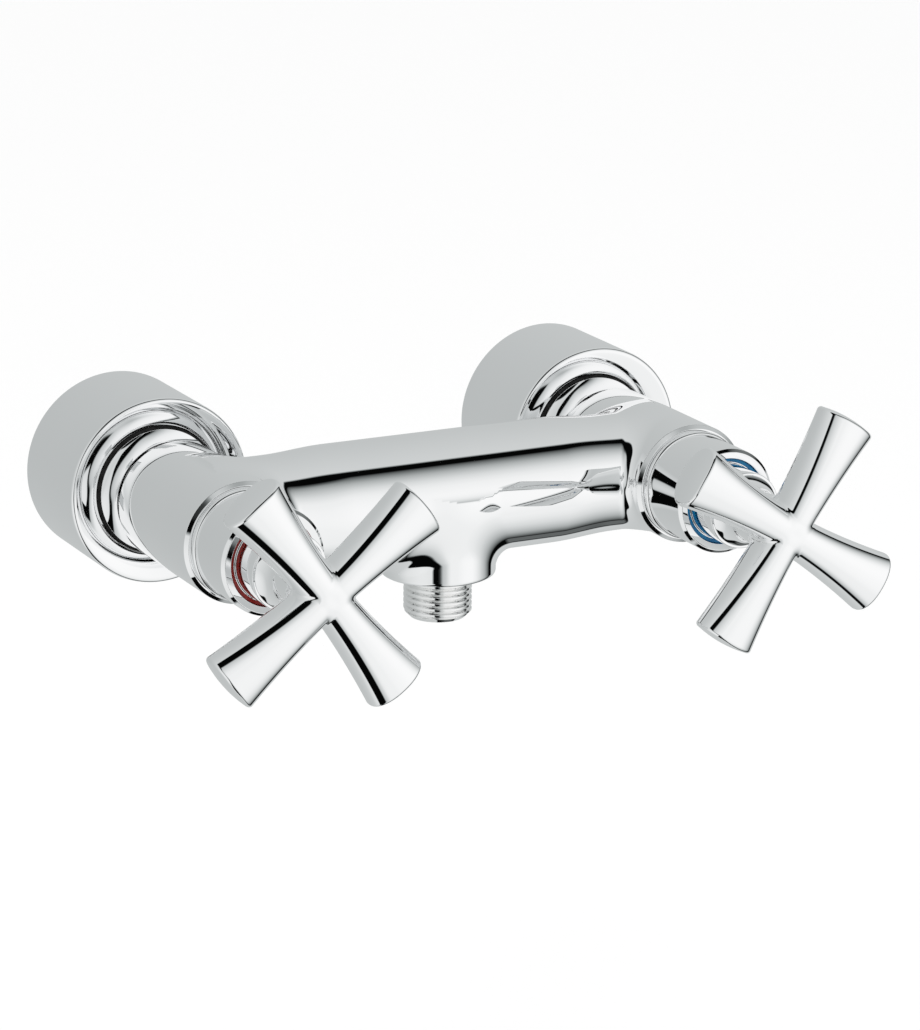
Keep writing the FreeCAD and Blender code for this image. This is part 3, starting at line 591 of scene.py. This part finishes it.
def union_piece(x):
    """Eccentric union: wall thread, cranked neck and the round front under the nut."""
    angle = np.arange(turns) * 2 * math.pi / turns
    cosine, sine = np.cos(angle), np.sin(angle)
    thread = helix_rows(0.2 - CRANK_START, WALL_THREAD, WALL_LEAD_IN)
    # radius, depth, height of the centre, and the normal outwards and forwards
    rows = [(UNION_BORE, UNION_FRONT, AXIS_Z, -1, 0), (UNION_BORE, CRANK_END, AXIS_Z, -1, 0),
            (PIPE_BORE, CRANK_START, 0.0, -1, 0), (PIPE_BORE, 0.6 - WALL_THREAD, 0.0, -1, 0),
            (PIPE_BORE + 0.3, 0.1 - WALL_THREAD, 0.0, -0.7, -0.7),
            (PIPE_BORE + 0.6, -WALL_THREAD, 0.0, 0, -1), (8.6, -WALL_THREAD, 0.0, 0, -1)]
    rows += [(radius, -place, 0.0, outwards, -onwards)
             for radius, place, outwards, onwards in reversed(list(zip(*thread)))]
    rows += [(THREAD_RADIUS, CRANK_START - 0.05, 0.0, 1, 0),
             (THREAD_RADIUS + 0.3, CRANK_START, 0.0, 0, -1),
             (UNION_SHOULDER - 0.2, CRANK_START, 0.0, 0, -1),
             (UNION_SHOULDER, CRANK_START + 0.15, 0.0, 0.8, -0.6),
             (UNION_RADIUS, CRANK_END, AXIS_Z, 1, 0),
             (UNION_RADIUS, UNION_FRONT - 0.2, AXIS_Z, 1, 0),
             (UNION_SHOULDER, UNION_FRONT, AXIS_Z, 0, 1),
             (UNION_BORE + 0.1, UNION_FRONT, AXIS_Z, 0, 1)]
    points, normals = [], []
    for radius, depth, centre, outwards, forwards in rows:
        forwards = np.broadcast_to(forwards, (turns,))
        points.append(np.stack([x + radius * cosine, np.full(turns, -depth),
                                centre + radius * sine], 1))
        normals.append(np.stack([outwards * cosine, -forwards, outwards * sine], 1))
    return skin_of(points, normals)


# blended castings
def join(a, b, radius):
    """Two distances joined with a round fillet."""
    inner = np.maximum(radius, np.minimum(a, b))
    return inner - np.hypot(np.maximum(radius - a, 0), np.maximum(radius - b, 0))


def body_field(p):
    x, depth, z = p[..., 0], -p[..., 1], p[..., 2] - AXIS_Z
    away = np.abs(x)
    share = np.clip((away - TUBE_FULL_HALF) / (TUBE_NECK_HALF - TUBE_FULL_HALF), 0, 1)
    radius = TUBE_RADIUS - (TUBE_RADIUS - TUBE_NECK_RADIUS) * (0.5 - 0.5 * np.cos(math.pi * share))
    tube = np.maximum(np.hypot(depth - TUBE_DEPTH, z) - radius, away - SIDE)
    branch = np.hypot(away - SIDE, z) - BRANCH_RADIUS
    boss = np.maximum(np.hypot(x, depth - TUBE_DEPTH) - BOSS_RADIUS, z)
    return join(join(tube, branch, TUBE_BLEND), boss, BOSS_BLEND)


def arm_size(along):
    """Half the width and half the height of an arm at a distance from the handle's axis."""
    swell = np.minimum(np.abs(along) / CROSS_REACH, 1.1) ** ARM_POWER
    return (ARM_HUB_WIDTH + (ARM_TIP_WIDTH - ARM_HUB_WIDTH) * swell,
            ARM_HUB_HEIGHT + (ARM_TIP_HEIGHT - ARM_HUB_HEIGHT) * swell)


def arm_pair(along, across, front):
    """Distance to two opposite arms, a full oval in section, swelling to their ends."""
    wide, high = arm_size(along)
    high = high - HUB_RELIEF * np.exp(-(along ** 2 + across ** 2) / HUB_SPREAD ** 2)
    a, b = np.abs(across) / wide, np.abs(front) / high
    q = (a ** ARM_SECTION + b ** ARM_SECTION) ** (1 / ARM_SECTION) + 1e-9
    steep = np.hypot(a ** (ARM_SECTION - 1) / wide, b ** (ARM_SECTION - 1) / high)
    steep = steep * q ** (1 - ARM_SECTION) + 1e-9
    return (q - 1) / steep


def handle_field(p):
    """Cross handle as drawn at the origin: its first arm along X, its depth along Z."""
    x, z, front = p[..., 0], p[..., 1], p[..., 2] - CROSS_DEPTH
    arms = join(arm_pair(x, z, front), arm_pair(z, x, front), HUB_FILLET)
    neck = np.maximum(np.hypot(x, z) - NECK_RADIUS, front - NECK_TOP)
    return join(arms, neck, NECK_FILLET)


def unit(vectors):
    return vectors / np.linalg.norm(vectors, axis=1)[:, None]


def gradient(field, p, step=0.02):
    """Slope of a field at each point."""
    result = np.empty_like(p)
    for axis in range(3):
        shift = np.zeros(3)
        shift[axis] = step
        result[:, axis] = (field(p + shift) - field(p - shift)) / (2 * step)
    return result


def project(field, p):
    """Points moved onto the zero surface of a field."""
    for _ in range(2):
        slope = gradient(field, p)
        p = p - slope * (field(p) / np.maximum((slope ** 2).sum(1), 1e-6))[:, None]
    return p


def surface_of(field, low, high, cell):
    """Even quads on the zero surface of a field, inside a box."""
    counts = [int(math.ceil((h - l) / cell)) + 1 for l, h in zip(low, high)]
    axes = [l + cell * np.arange(n) for l, n in zip(low, counts)]
    grid = np.stack(np.meshgrid(*axes, indexing="ij"), -1)
    value = field(grid)
    inside = value < 0
    shape = tuple(n - 1 for n in counts)
    total = np.zeros(shape + (3,))
    hits = np.zeros(shape)
    corners = [(i, j, k) for i in (0, 1) for j in (0, 1) for k in (0, 1)]

    def cut(array, corner):
        return array[tuple(slice(c, c + n) for c, n in zip(corner, shape))]

    for axis in range(3):
        for corner in corners:
            if corner[axis]:
                continue
            other = list(corner)
            other[axis] = 1
            here, there = cut(value, corner), cut(value, other)
            crossing = cut(inside, corner) != cut(inside, other)
            share = np.where(crossing, here / np.where(crossing, here - there, 1), 0)
            step = np.zeros(3)
            step[axis] = cell
            total += np.where(crossing[..., None], cut(grid, corner) + share[..., None] * step, 0)
            hits += crossing
    used = hits > 0
    number = np.full(shape, -1)
    number[used] = np.arange(used.sum())
    points = total[used] / hits[used][:, None]
    faces = []
    for axis in range(3):
        b, c = [k for k in range(3) if k != axis]
        lead, trail = [slice(None)] * 3, [slice(None)] * 3
        lead[axis], trail[axis] = slice(0, -1), slice(1, None)
        for k in (b, c):
            lead[k] = trail[k] = slice(1, -1)
        first, second = inside[tuple(lead)], inside[tuple(trail)]

        def around(shift_b, shift_c):
            pick = [slice(None)] * 3
            pick[b] = slice(shift_b, shape[b] - 1 + shift_b)
            pick[c] = slice(shift_c, shape[c] - 1 + shift_c)
            return number[tuple(pick)]

        ring = np.stack([around(0, 0), around(1, 0), around(1, 1), around(0, 1)], -1)
        crossing = first != second
        quads, way = ring[crossing], first[crossing]
        if axis == 1:
            way = ~way
        quads[~way] = quads[~way][:, ::-1]
        faces.append(quads)
    faces = np.concatenate(faces)
    faces = faces[(faces >= 0).all(1)]
    edges = np.concatenate([faces[:, [k, (k + 1) % 4]] for k in range(4)])
    edges = np.unique(np.sort(edges, 1), axis=0)
    both = np.concatenate([edges, edges[:, ::-1]])
    degree = np.maximum(np.bincount(both[:, 0], minlength=len(points)), 1)
    for _ in range(RELAX_ROUNDS):
        mean = np.stack([np.bincount(both[:, 0], points[both[:, 1], k], len(points))
                         for k in range(3)], 1) / degree[:, None]
        points = project(field, points + 0.5 * (mean - points))
    return project(field, points), faces


def trimmed(points, faces, planes):
    """What lies inside all (place, normal) planes: points, faces and the edges of its rims."""
    build = bmesh.new()
    verts = [build.verts.new(p) for p in points.tolist()]
    for face in faces.tolist():
        build.faces.new([verts[k] for k in face])
    for place, normal in planes:
        everything = build.verts[:] + build.edges[:] + build.faces[:]
        bmesh.ops.bisect_plane(build, geom=everything, dist=1e-4, plane_co=place,
                               plane_no=normal, clear_outer=True)
    loose = [v for v in build.verts if not v.link_faces]
    bmesh.ops.delete(build, geom=loose, context="VERTS")
    bmesh.ops.remove_doubles(build, verts=build.verts[:], dist=0.02)
    build.verts.index_update()
    rim = [[e.verts[0].index, e.verts[1].index] for e in build.edges if len(e.link_faces) == 1]
    points = np.array([v.co[:] for v in build.verts])
    faces = [[v.index for v in f.verts] for f in build.faces]
    build.free()
    return points, faces, rim


def loops_of(rim):
    """Closed rings of point numbers from a list of edges."""
    beside = {}
    for a, b in rim:
        beside.setdefault(a, []).append(b)
        beside.setdefault(b, []).append(a)
    rings, left = [], set(beside)
    while left:
        start = min(left)
        ring, here, before = [start], start, None
        left.discard(start)
        while True:
            options = [n for n in beside[here] if n != before and (n in left or n == start)]
            if not options or options[0] == start:
                break
            before, here = here, options[0]
            ring.append(here)
            left.discard(here)
        rings.append(ring)
    return rings


class Growing:
    """Mesh with open rims that rows of points are added to."""

    def __init__(self, points, faces, normals):
        self.points = list(points)
        self.faces = [list(f) for f in faces]
        self.normals = list(normals)

    def add_row(self, ring, points, normals):
        """One more row beyond a rim; returns the new rim."""
        first, count = len(self.points), len(ring)
        self.points.extend(points)
        self.normals.extend(normals)
        new = list(range(first, first + count))
        for k in range(count):
            m = (k + 1) % count
            self.faces.append([ring[k], ring[m], new[m], new[k]])
        return new

    def close(self, ring, point, normal):
        """A fan from a rim to a point in its middle."""
        middle = len(self.points)
        self.points.append(point)
        self.normals.append(normal)
        for k in range(len(ring)):
            self.faces.append([ring[k], ring[(k + 1) % len(ring)], middle])

    def turn(self, ring, origin, out, outline, facing):
        """An outline of (radius, place along out) turned on from a round rim, where it starts.

        Its first part runs along the casting's outside, its last one is closed with a flat
        that faces along out (1) or against it (-1).
        """
        rows = profile(outline, 0.15, closed=False)
        if rows[0, 2] <= 0:
            rows[:, 2:] *= -1
        origin, out = np.array(origin, float), np.array(out, float)
        arms = np.array([self.points[k] for k in ring]) - origin
        arms = unit(arms - (arms @ out)[:, None] * out)
        for radius, place, outwards, onwards in rows[1:]:
            ring = self.add_row(ring, origin + radius * arms + place * out,
                                outwards * arms + onwards * out)
        self.close(ring, origin + rows[-1, 1] * out, facing * out)

    def arrays(self):
        return np.array(self.points), self.faces, np.array(self.normals)


def casting(field, points, faces):
    """Growing mesh with the field's own normals."""
    return Growing(points, faces, unit(gradient(field, points)))


def end_of(place):
    """Which end of the body a rim is at, and where its side lies across."""
    if np.ptp(place[:, 1]) >= FLAT:
        return "foot", 0.0
    name = "rear" if abs(place[0, 1] + REAR_CUT) < 0.05 else "front"
    return name, math.copysign(SIDE, place[:, 0].mean())


def snapped(place, name, side):
    """Points of a rim put exactly on their circle."""
    if name == "foot":
        centre, radius, axes = (0.0, -TUBE_DEPTH), BOSS_RADIUS, [0, 1]
    else:
        centre, radius, axes = (side, AXIS_Z), BRANCH_RADIUS, [0, 2]
    arms = place[:, axes] - centre
    place[:, axes] = centre + arms * radius / np.hypot(arms[:, 0], arms[:, 1])[:, None]
    return place


def body_piece():
    """Branches, tube and boss in one casting, with their turned ends and bores."""
    foot = BOSS_BOTTOM + BOSS_EDGE + 0.2  # just above the rounded edge
    low = (-SIDE - 20.0, -BRANCH_FRONT - 1.0, BOSS_BOTTOM + 0.5)
    high = (SIDE + 20.0, -BRANCH_START + 1.0, AXIS_Z + 20.5)
    points, faces = surface_of(body_field, low, high, body_cell)
    points, faces, rim = trimmed(points, faces, [
        ((0, -REAR_CUT, 0), (0, 1, 0)), ((0, -FRONT_CUT, 0), (0, -1, 0)),
        ((0, 0, foot), (0, 0, -1))])
    rings = loops_of(rim)
    ends = [end_of(points[ring]) for ring in rings]
    for ring, (name, side) in zip(rings, ends):
        points[ring] = snapped(points[ring], name, side)
    mesh = casting(body_field, points, faces)
    bottom, bore_end = -BOSS_BOTTOM, -BOSS_BOTTOM - BOSS_BORE_DEPTH
    for ring, (name, side) in zip(rings, ends):
        if name == "rear":
            mesh.turn(ring, (side, 0, AXIS_Z), (0, -1, 0), [
                (BRANCH_RADIUS, REAR_CUT, 0), (BRANCH_RADIUS, BRANCH_START, 0.5),
                (BRANCH_BORE, BRANCH_START, 0.2), (BRANCH_BORE, CHAMBER_REAR, 0.1),
                (ORIFICE_RADIUS, CHAMBER_REAR, 0)], -1)
        elif name == "front":
            mesh.turn(ring, (side, 0, AXIS_Z), (0, -1, 0), [
                (BRANCH_RADIUS, FRONT_CUT, 0),
                (BRANCH_RADIUS, BRANCH_FRONT - BRANCH_BEVEL[1], 0.25),
                (BRANCH_RADIUS - BRANCH_BEVEL[0], BRANCH_FRONT, 0.2),
                (RECESS_RADIUS, BRANCH_FRONT, 0.15),
                (RECESS_RADIUS, RECESS_FLOOR, 0.1), (BRANCH_BORE, RECESS_FLOOR, 0.1),
                (BRANCH_BORE, CHAMBER_FRONT, 0.1), (ORIFICE_RADIUS, CHAMBER_FRONT, 0)], 1)
        else:
            mesh.turn(ring, (0, -TUBE_DEPTH, 0), (0, 0, -1), [
                (BOSS_RADIUS, -foot, 0), (BOSS_RADIUS, bottom, BOSS_EDGE),
                (BOSS_BORE, bottom, 0.2), (BOSS_BORE, bore_end, 0.1),
                (BOSS_PASSAGE, bore_end, 0)], 1)
    return mesh.arrays()


def tip_reach(front):
    """How far out an arm's domed end is, at a place in front of the cross plane."""
    return CROSS_REACH - ARM_DOME * (front / ARM_HUB_HEIGHT) ** 2


def handle_mesh():
    """Handle as drawn: x and z across the axis, then the depth."""
    edge = ARM_CUT + 1.2
    points, faces = surface_of(handle_field, (-edge, -edge, NECK_CUT - 1.0),
                               (edge, edge, CROSS_DEPTH + 8.0), handle_cell)
    planes = [((0, 0, NECK_CUT), (0, 0, -1))]
    for normal in ((1, 0, 0), (-1, 0, 0), (0, 1, 0), (0, -1, 0)):
        planes.append(([ARM_CUT * n for n in normal], normal))
    points, faces, rim = trimmed(points, faces, planes)
    mesh = casting(handle_field, points, faces)
    foot = SKIRT_RADIUS - SKIRT_EDGE
    middle = flare_middle(foot, NECK_RADIUS, SKIRT_RIM, NECK_START)
    for ring in loops_of(rim):
        place = points[ring]
        if np.ptp(place[:, 2]) < FLAT:
            mesh.turn(ring, (0, 0, 0), (0, 0, 1), [
                (NECK_RADIUS, NECK_CUT, 0), (NECK_RADIUS, NECK_START, 0), (*middle, "via"),
                (foot, SKIRT_RIM, 0.3), (SKIRT_RADIUS, SKIRT_RIM, SKIRT_EDGE),
                (SKIRT_RADIUS, SKIRT_START, 0.2), (SKIRT_BORE, SKIRT_START, 0.15),
                (SKIRT_BORE, SKIRT_FLOOR, 0.2), (SOCKET_RADIUS, SKIRT_FLOOR, 0.1),
                (SOCKET_RADIUS, SOCKET_END, 0)], -1)
            continue
        axis = 0 if np.ptp(place[:, 0]) < FLAT else 1
        finish_tip(mesh, ring, axis, math.copysign(1.0, place[0, axis]))
    return mesh.arrays()


def finish_tip(mesh, ring, axis, sign):
    """Arm from the cut to its domed end, with a crisp rounded edge."""
    base = np.array([mesh.points[k] for k in ring])
    across, front = base[:, 1 - axis], base[:, 2] - CROSS_DEPTH
    cut_wide, cut_high = arm_size(ARM_CUT)
    share = np.stack([across / cut_wide, front / cut_high])
    share /= (np.abs(share) ** ARM_SECTION).sum(0) ** (1 / ARM_SECTION)
    cosine, sine = share

    def end_along(side, rise):
        return np.sqrt(tip_reach(rise) ** 2 - side ** 2)

    def in_handle(across, front, along):
        """Vectors across, in front of and along the arm, in the handle's axes."""
        vectors = np.empty((len(ring), 3))
        vectors[:, axis], vectors[:, 1 - axis], vectors[:, 2] = sign * along, across, front
        return vectors

    def side_normal(along):
        wide, high = arm_size(along)
        normal = np.sign(share) * np.abs(share) ** (ARM_SECTION - 1)
        normal = unit(normal.T / np.stack([wide, high], 1))
        step = 0.05
        next_wide, next_high = arm_size(along + step)
        grow = ((next_wide - wide) * cosine * normal[:, 0]
                + (next_high - high) * sine * normal[:, 1]) / step
        return unit(np.stack([normal[:, 0], normal[:, 1], -grow], 1))

    def end_normal(side, rise):
        reach = tip_reach(rise)
        slope = 2 * ARM_DOME * rise / ARM_HUB_HEIGHT ** 2
        return unit(np.stack([side / reach, slope, end_along(side, rise) / reach], 1))

    def add(side, rise, along, normal):
        return mesh.add_row(ring, in_handle(side, CROSS_DEPTH + rise, along), in_handle(*normal.T))

    rim_along = np.full(len(ring), 36.9)  # near the tip; a few rounds settle it
    for _ in range(4):
        wide, high = arm_size(rim_along)
        rim_along = end_along(wide * cosine, high * sine)
    last_along = rim_along - ARM_EDGE
    for part in (0.5, 1.0):
        along = ARM_CUT + (last_along - ARM_CUT) * part
        wide, high = arm_size(along)
        ring = add(wide * cosine, high * sine, along, side_normal(along))
    wide, high = arm_size(last_along)
    flat = side_normal(last_along)
    size = np.hypot(wide * cosine, high * sine)
    for step in range(1, tip_steps + 1):
        turn = step / tip_steps * math.pi / 2
        scale = 1 - ARM_EDGE * (1 - math.cos(turn)) / size
        side, rise = wide * cosine * scale, high * sine * scale
        normal = unit(flat * math.cos(turn) + end_normal(side, rise) * math.sin(turn))
        ring = add(side, rise, end_along(side, rise) - ARM_EDGE * (1 - math.sin(turn)), normal)
    shrink = 1 - ARM_EDGE / size
    for part in (0.75, 0.5, 0.25):
        side, rise = wide * cosine * shrink * part, high * sine * shrink * part
        ring = add(side, rise, end_along(side, rise), end_normal(side, rise))
    tip, normal = np.array([0.0, 0.0, CROSS_DEPTH]), np.zeros(3)
    tip[axis], normal[axis] = sign * CROSS_REACH, sign
    mesh.close(ring, tip, normal)


def handle_at(points, normals, x, first_arm):
    """The drawn handle turned to its angle at rest and moved to its side."""
    angle = math.radians(first_arm)
    c, s = math.cos(angle), math.sin(angle)

    def turned(v):
        return np.stack([c * v[:, 0] - s * v[:, 1], -v[:, 2], s * v[:, 0] + c * v[:, 1]], 1)

    return turned(points) + (x, 0.0, AXIS_Z), turned(normals)


def orient(points, faces, normals):
    """Each face wound to agree with the normals of its own points."""
    result = []
    for face in faces:
        a, b, c = (points[k] for k in face[:3])
        flat = np.cross(b - a, c - a)
        if len(face) == 4:
            flat = flat + np.cross(c - a, points[face[3]] - a)
        result.append(face if np.dot(flat, normals[face].sum(0)) >= 0 else face[::-1])
    return result


# the mixer
points, faces, normals = body_piece()
smooth_piece("mixer_body_casting", points, orient(points, faces, normals), normals, "chrome",
             "mixer", "mixer_body")
smooth_piece("hose_outlet", *nipple(), "chrome_thread", "mixer", "outlet_nipple")

drawn_points, drawn_faces, drawn_normals = handle_mesh()
for side, facts in SIDES.items():
    x = facts["x"]
    for name, rows, slot in (
            ("wall_flange", flange_rows(), "chrome"), ("union_nut", nut_rows(), "chrome"),
            ("bell_cover", bell_rows(), "chrome"), ("index_ring", ring_rows(), facts["index"])):
        smooth_piece(side + "_" + name + "_turned", *lathe(rows, x), slot, "mixer",
                     side + "_" + name)
    flat_piece(side + "_union_nut_hexagon", *hexagon_points(x), "chrome", "mixer",
               side + "_union_nut")
    smooth_piece(side + "_eccentric_union", *union_piece(x), "brass_raw", "mixer",
                 side + "_s_union")
    points, normals = handle_at(drawn_points, drawn_normals, x, facts["first_arm"])
    smooth_piece(side + "_cross", points, orient(points, drawn_faces, normals), normals, "chrome",
                 facts["body"], side + "_cross_handle")

record_slots = {item["node"]: item["material_slot"] for item in frame["record"]["subparts"]}
for node, obj in frame["nodes"].items():
    if not obj.hide_render:
        obj.data.materials.clear()
        obj.data.materials.append(looks[record_slots[node]])


# floor
FLOOR_DROP = 0.25  # metres below the mixer
FLOOR_REACH = 3.0
FLOOR_GLOW = 0.3

floor_mesh = bpy.data.meshes.new("floor")
floor_mesh.from_pydata(
    [(FLOOR_REACH * x, FLOOR_REACH * y, cad_box[0].z - FLOOR_DROP)
     for x, y in ((-1, -1), (1, -1), (1, 1), (-1, 1))], [], [(0, 1, 2, 3)])
floor = add_object("floor", floor_mesh)
floor_mat, _, floor_links, floor_shader = material("pale_floor")
floor_shader.inputs["Base Color"].default_value = (0.9, 0.9, 0.9, 1.0)
floor_shader.inputs["Roughness"].default_value = 0.9
floor_shader.inputs["Emission Color"].default_value = (1.0, 1.0, 1.0, 1.0)
floor_mesh.materials.append(floor_mat)
floor.visible_glossy = False


# camera
AZIMUTH, ELEVATION, ROLL = -26.914, 16.121, -0.479  # degrees
TARGET = Vector((15.34, -60.0, -20.678)) * MM
DISTANCE = 1.30778  # metres
LENS = 147.8


def view_axes():
    """Unit vectors to the right, up and back from the camera."""
    a, e, r = (math.radians(angle) for angle in (AZIMUTH, ELEVATION, ROLL))
    back = Vector((math.sin(a) * math.cos(e), -math.cos(a) * math.cos(e), math.sin(e)))
    right = Vector((math.cos(a), math.sin(a), 0.0))
    up = back.cross(right)
    c, s = math.cos(r), math.sin(r)
    return c * right - s * up, s * right + c * up, back


camera_data = bpy.data.cameras.new("camera")
camera_data.lens = LENS
camera_data.sensor_width = 36.0
camera_data.sensor_fit = "AUTO"
camera_data.clip_start = 0.05
camera_data.clip_end = 50.0
camera = add_object("camera", camera_data)
axes = view_axes()
camera.matrix_world = (Matrix.Translation(TARGET + axes[2] * DISTANCE)
                       @ Matrix(axes).transposed().to_4x4())
bpy.context.scene.camera = camera


# light
# A white tent in front, a black gap around it and grey behind, for what the chrome shows.
# The gap's two edges are set, in degrees from straight ahead, for directions around the front
# axis: from the left through below, the right and above, back to the left.
GAP = [(-180, 41, 47), (-168, 38, 44), (-156, 33, 40), (-145, 28, 38), (-135, 26, 40),
       (-127, 29, 48), (-118, 34, 88), (-113, 42, 90), (-106, 50, 82), (-98, 56, 78),
       (-90, 76, 94), (-80, 94, 111), (-70, 96, 114), (-60, 92, 112), (-50, 92, 111),
       (-40, 92, 106), (-25, 92, 104), (-12, 93, 106), (5, 96, 109), (20, 95, 107),
       (32, 90, 100), (50, 79, 89), (62, 69, 81), (75, 61, 78), (88, 62, 83), (100, 59, 88),
       (110, 52, 87), (120, 47, 86), (130, 46, 74), (140, 45, 66), (151, 45, 61),
       (165, 43, 52), (180, 41, 47)]
GAP_ROUNDING = 4.5
FIELD_GREY = 0.13
# (degrees past the gap's inner edge, level)
SOFT_TENT = [(-60, 1.0), (-43, 0.99), (-35, 0.93), (-25, 0.80), (-18, 0.66), (-11, 0.50),
             (-5, 0.30), (0, 0.13), (3, 0.002), (8, 0.002)]
CRISP_TENT = [(-60, 1.0), (-38, 0.94), (-28, 0.86), (-16, 0.74), (-7, 0.65), (-4, 0.58),
              (0, 0.05), (2, 0.002), (8, 0.002)]
BRIGHTEST = (0.669, -0.743, -0.035)
REAR, REAR_DEPTH, REAR_SIDE = 0.645, -0.115, 0.06  # level, and how it changes with direction
LOW_LEFT = (-0.749, -0.309, -0.586)
PLAIN_LIGHT = 0.75  # for diffuse rays
TINT = 0.08  # how much less red the greys have
KEY_PLACE = (-0.8, -1.2, 1.1)
KEY_SIZE = (1.2, 0.9)
KEY_POWER = 6.0

world = bpy.data.worlds.new("studio")
bpy.context.scene.world = world
world.use_nodes = True
world.cycles.sampling_method = "NONE"
nodes, links = world.node_tree.nodes, world.node_tree.links
way = nodes.new("ShaderNodeTexCoord").outputs["Generated"]
split = nodes.new("ShaderNodeSeparateXYZ")
links.new(way, split.inputs["Vector"])


def math_node(tree, operation, first, second=0.0):
    """Result of one sum; a float is a constant, anything else another node's socket."""
    node = tree.nodes.new("ShaderNodeMath")
    node.operation = operation
    for socket, value in zip(node.inputs, (first, second)):
        if isinstance(value, float):
            socket.default_value = value
        else:
            tree.links.new(value, socket)
    return node.outputs["Value"]


def calc(operation, first, second=0.0):
    return math_node(world.node_tree, operation, first, second)


def light_path(tree):
    """The path's node, and 1 for rays from the camera, straight or through a clear piece."""
    path = tree.nodes.new("ShaderNodeLightPath")
    return path, math_node(tree, "MAXIMUM", path.outputs["Is Camera Ray"],
                           path.outputs["Is Transmission Ray"])


def ramp(source, low, high, stops):
    """Level that follows a value through (value, level) stops."""
    node = nodes.new("ShaderNodeValToRGB")
    elements = node.color_ramp.elements
    while len(elements) > 1:
        elements.remove(elements[-1])
    for k, (value, level) in enumerate(stops):
        place = (value - low) / (high - low)
        element = elements[0] if k == 0 else elements.new(place)
        element.position = place
        element.color = (level, level, level, 1.0)
    links.new(map_range(world.node_tree, source, low, high), node.inputs["Fac"])
    return node.outputs["Color"]


def along(direction):
    """Cosine of the angle between the way looked and a direction."""
    node = nodes.new("ShaderNodeVectorMath")
    node.operation = "DOT_PRODUCT"
    node.inputs[1].default_value = direction
    links.new(way, node.inputs[0])
    return node.outputs["Value"]


def past(column):
    """Degrees that a direction lies beyond one edge of the gap, its corners rounded."""
    fine = np.arange(-180.0, 180.0)
    edge = np.interp(fine, [stop[0] for stop in GAP], [stop[column] for stop in GAP])
    spread = range(-12, 13)
    weights = [math.exp(-(shift / GAP_ROUNDING) ** 2 / 2) for shift in spread]
    edge = sum(w * np.roll(edge, shift) for w, shift in zip(weights, spread)) / sum(weights)
    node = nodes.new("ShaderNodeFloatCurve")
    points = node.mapping.curves[0].points
    stops = [(k / 360, edge[k % 360] / 180) for k in range(0, 361, 6)]
    points[0].location, points[1].location = stops[0], stops[-1]
    for stop in stops[1:-1]:
        points.new(*stop)
    node.mapping.update()
    links.new(map_range(world.node_tree, around, -180.0, 180.0), node.inputs["Value"])
    return calc("SUBTRACT", away, calc("MULTIPLY", node.outputs["Value"], 180.0))


away = calc("DEGREES", calc("ARCCOSINE", calc("MULTIPLY", split.outputs["Y"], -1.0)))
around = calc("DEGREES", calc("ARCTAN2", split.outputs["Z"], split.outputs["X"]))
past_inner, past_outer = past(1), past(2)
soft = ramp(past_inner, -60, 8, SOFT_TENT)
crisp = ramp(past_inner, -60, 8, CRISP_TENT)
softness = ramp(split.outputs["X"], -1.0, 1.0, [(-1.0, 0.0), (-0.1, 0.0), (0.4, 1.0), (1.0, 1.0)])
tent = calc("ADD", crisp, calc("MULTIPLY", softness, calc("SUBTRACT", soft, crisp)))
tent = calc("MULTIPLY", tent, ramp(
    along(BRIGHTEST), 0.6, 1.0, [(0.6, 0.895), (0.85, 0.905), (0.95, 0.965), (1.0, 1.0)]))
# below, the gap holds a dark grey field with a black edge on each side
field = ramp(around, -90, -45, [(-78, 0.0), (-71, FIELD_GREY), (-58, FIELD_GREY), (-52, 0.0)])
field = calc("MULTIPLY", field, ramp(past_inner, 0, 10, [(3.0, 0.0), (5.0, 1.0)]))
field = calc("MULTIPLY", field, ramp(past_outer, -10, 0, [(-4.0, 1.0), (-2.5, 0.0)]))
tent = calc("ADD", tent, field)
rear = calc("ADD", calc("MULTIPLY", split.outputs["X"], REAR_SIDE), REAR_DEPTH)
rear = calc("ADD", REAR, calc("MULTIPLY", rear, split.outputs["Y"]))
rear = calc("ADD", rear, ramp(along(LOW_LEFT), 0.75, 1.0, [(0.8, 0.0), (0.97, 0.13)]))
behind = ramp(past_outer, -1.5, 1.5, [(-1.5, 0.0), (1.5, 1.0)])
level = calc("ADD", calc("MULTIPLY", tent, calc("SUBTRACT", 1.0, behind)),
             calc("MULTIPLY", rear, behind))
path, seen = light_path(world.node_tree)
glossy = path.outputs["Is Glossy Ray"]
plain = calc("MULTIPLY", calc("SUBTRACT", 1.0, glossy), calc("MAXIMUM", seen, PLAIN_LIGHT))
level = calc("MULTIPLY", glossy, level)
# the greys lean slightly to green and blue, the whites don't
red = calc("MULTIPLY", level, calc("ADD", calc("MULTIPLY", level, TINT), 1.0 - TINT))
tint = nodes.new("ShaderNodeCombineColor")
links.new(calc("ADD", red, plain), tint.inputs["Red"])
level = calc("ADD", level, plain)
links.new(level, tint.inputs["Green"])
links.new(level, tint.inputs["Blue"])
links.new(tint.outputs["Color"], nodes["Background"].inputs["Color"])
nodes["Background"].inputs["Strength"].default_value = 1.0

_, seen = light_path(floor_mat.node_tree)
floor_links.new(math_node(floor_mat.node_tree, "MULTIPLY", seen, FLOOR_GLOW),
                floor_shader.inputs["Emission Strength"])

key_data = bpy.data.lights.new("key", "AREA")
key_data.shape = "RECTANGLE"
key_data.size, key_data.size_y = KEY_SIZE
key_data.energy = KEY_POWER
key = add_object("key", key_data)
key.location = KEY_PLACE
key.rotation_euler = (Vector((0, -0.08, 0)) - key.location).to_track_quat("-Z", "Y").to_euler()
key.visible_glossy = False
key.visible_camera = False

bpy.context.scene.view_settings.view_transform = "Standard"
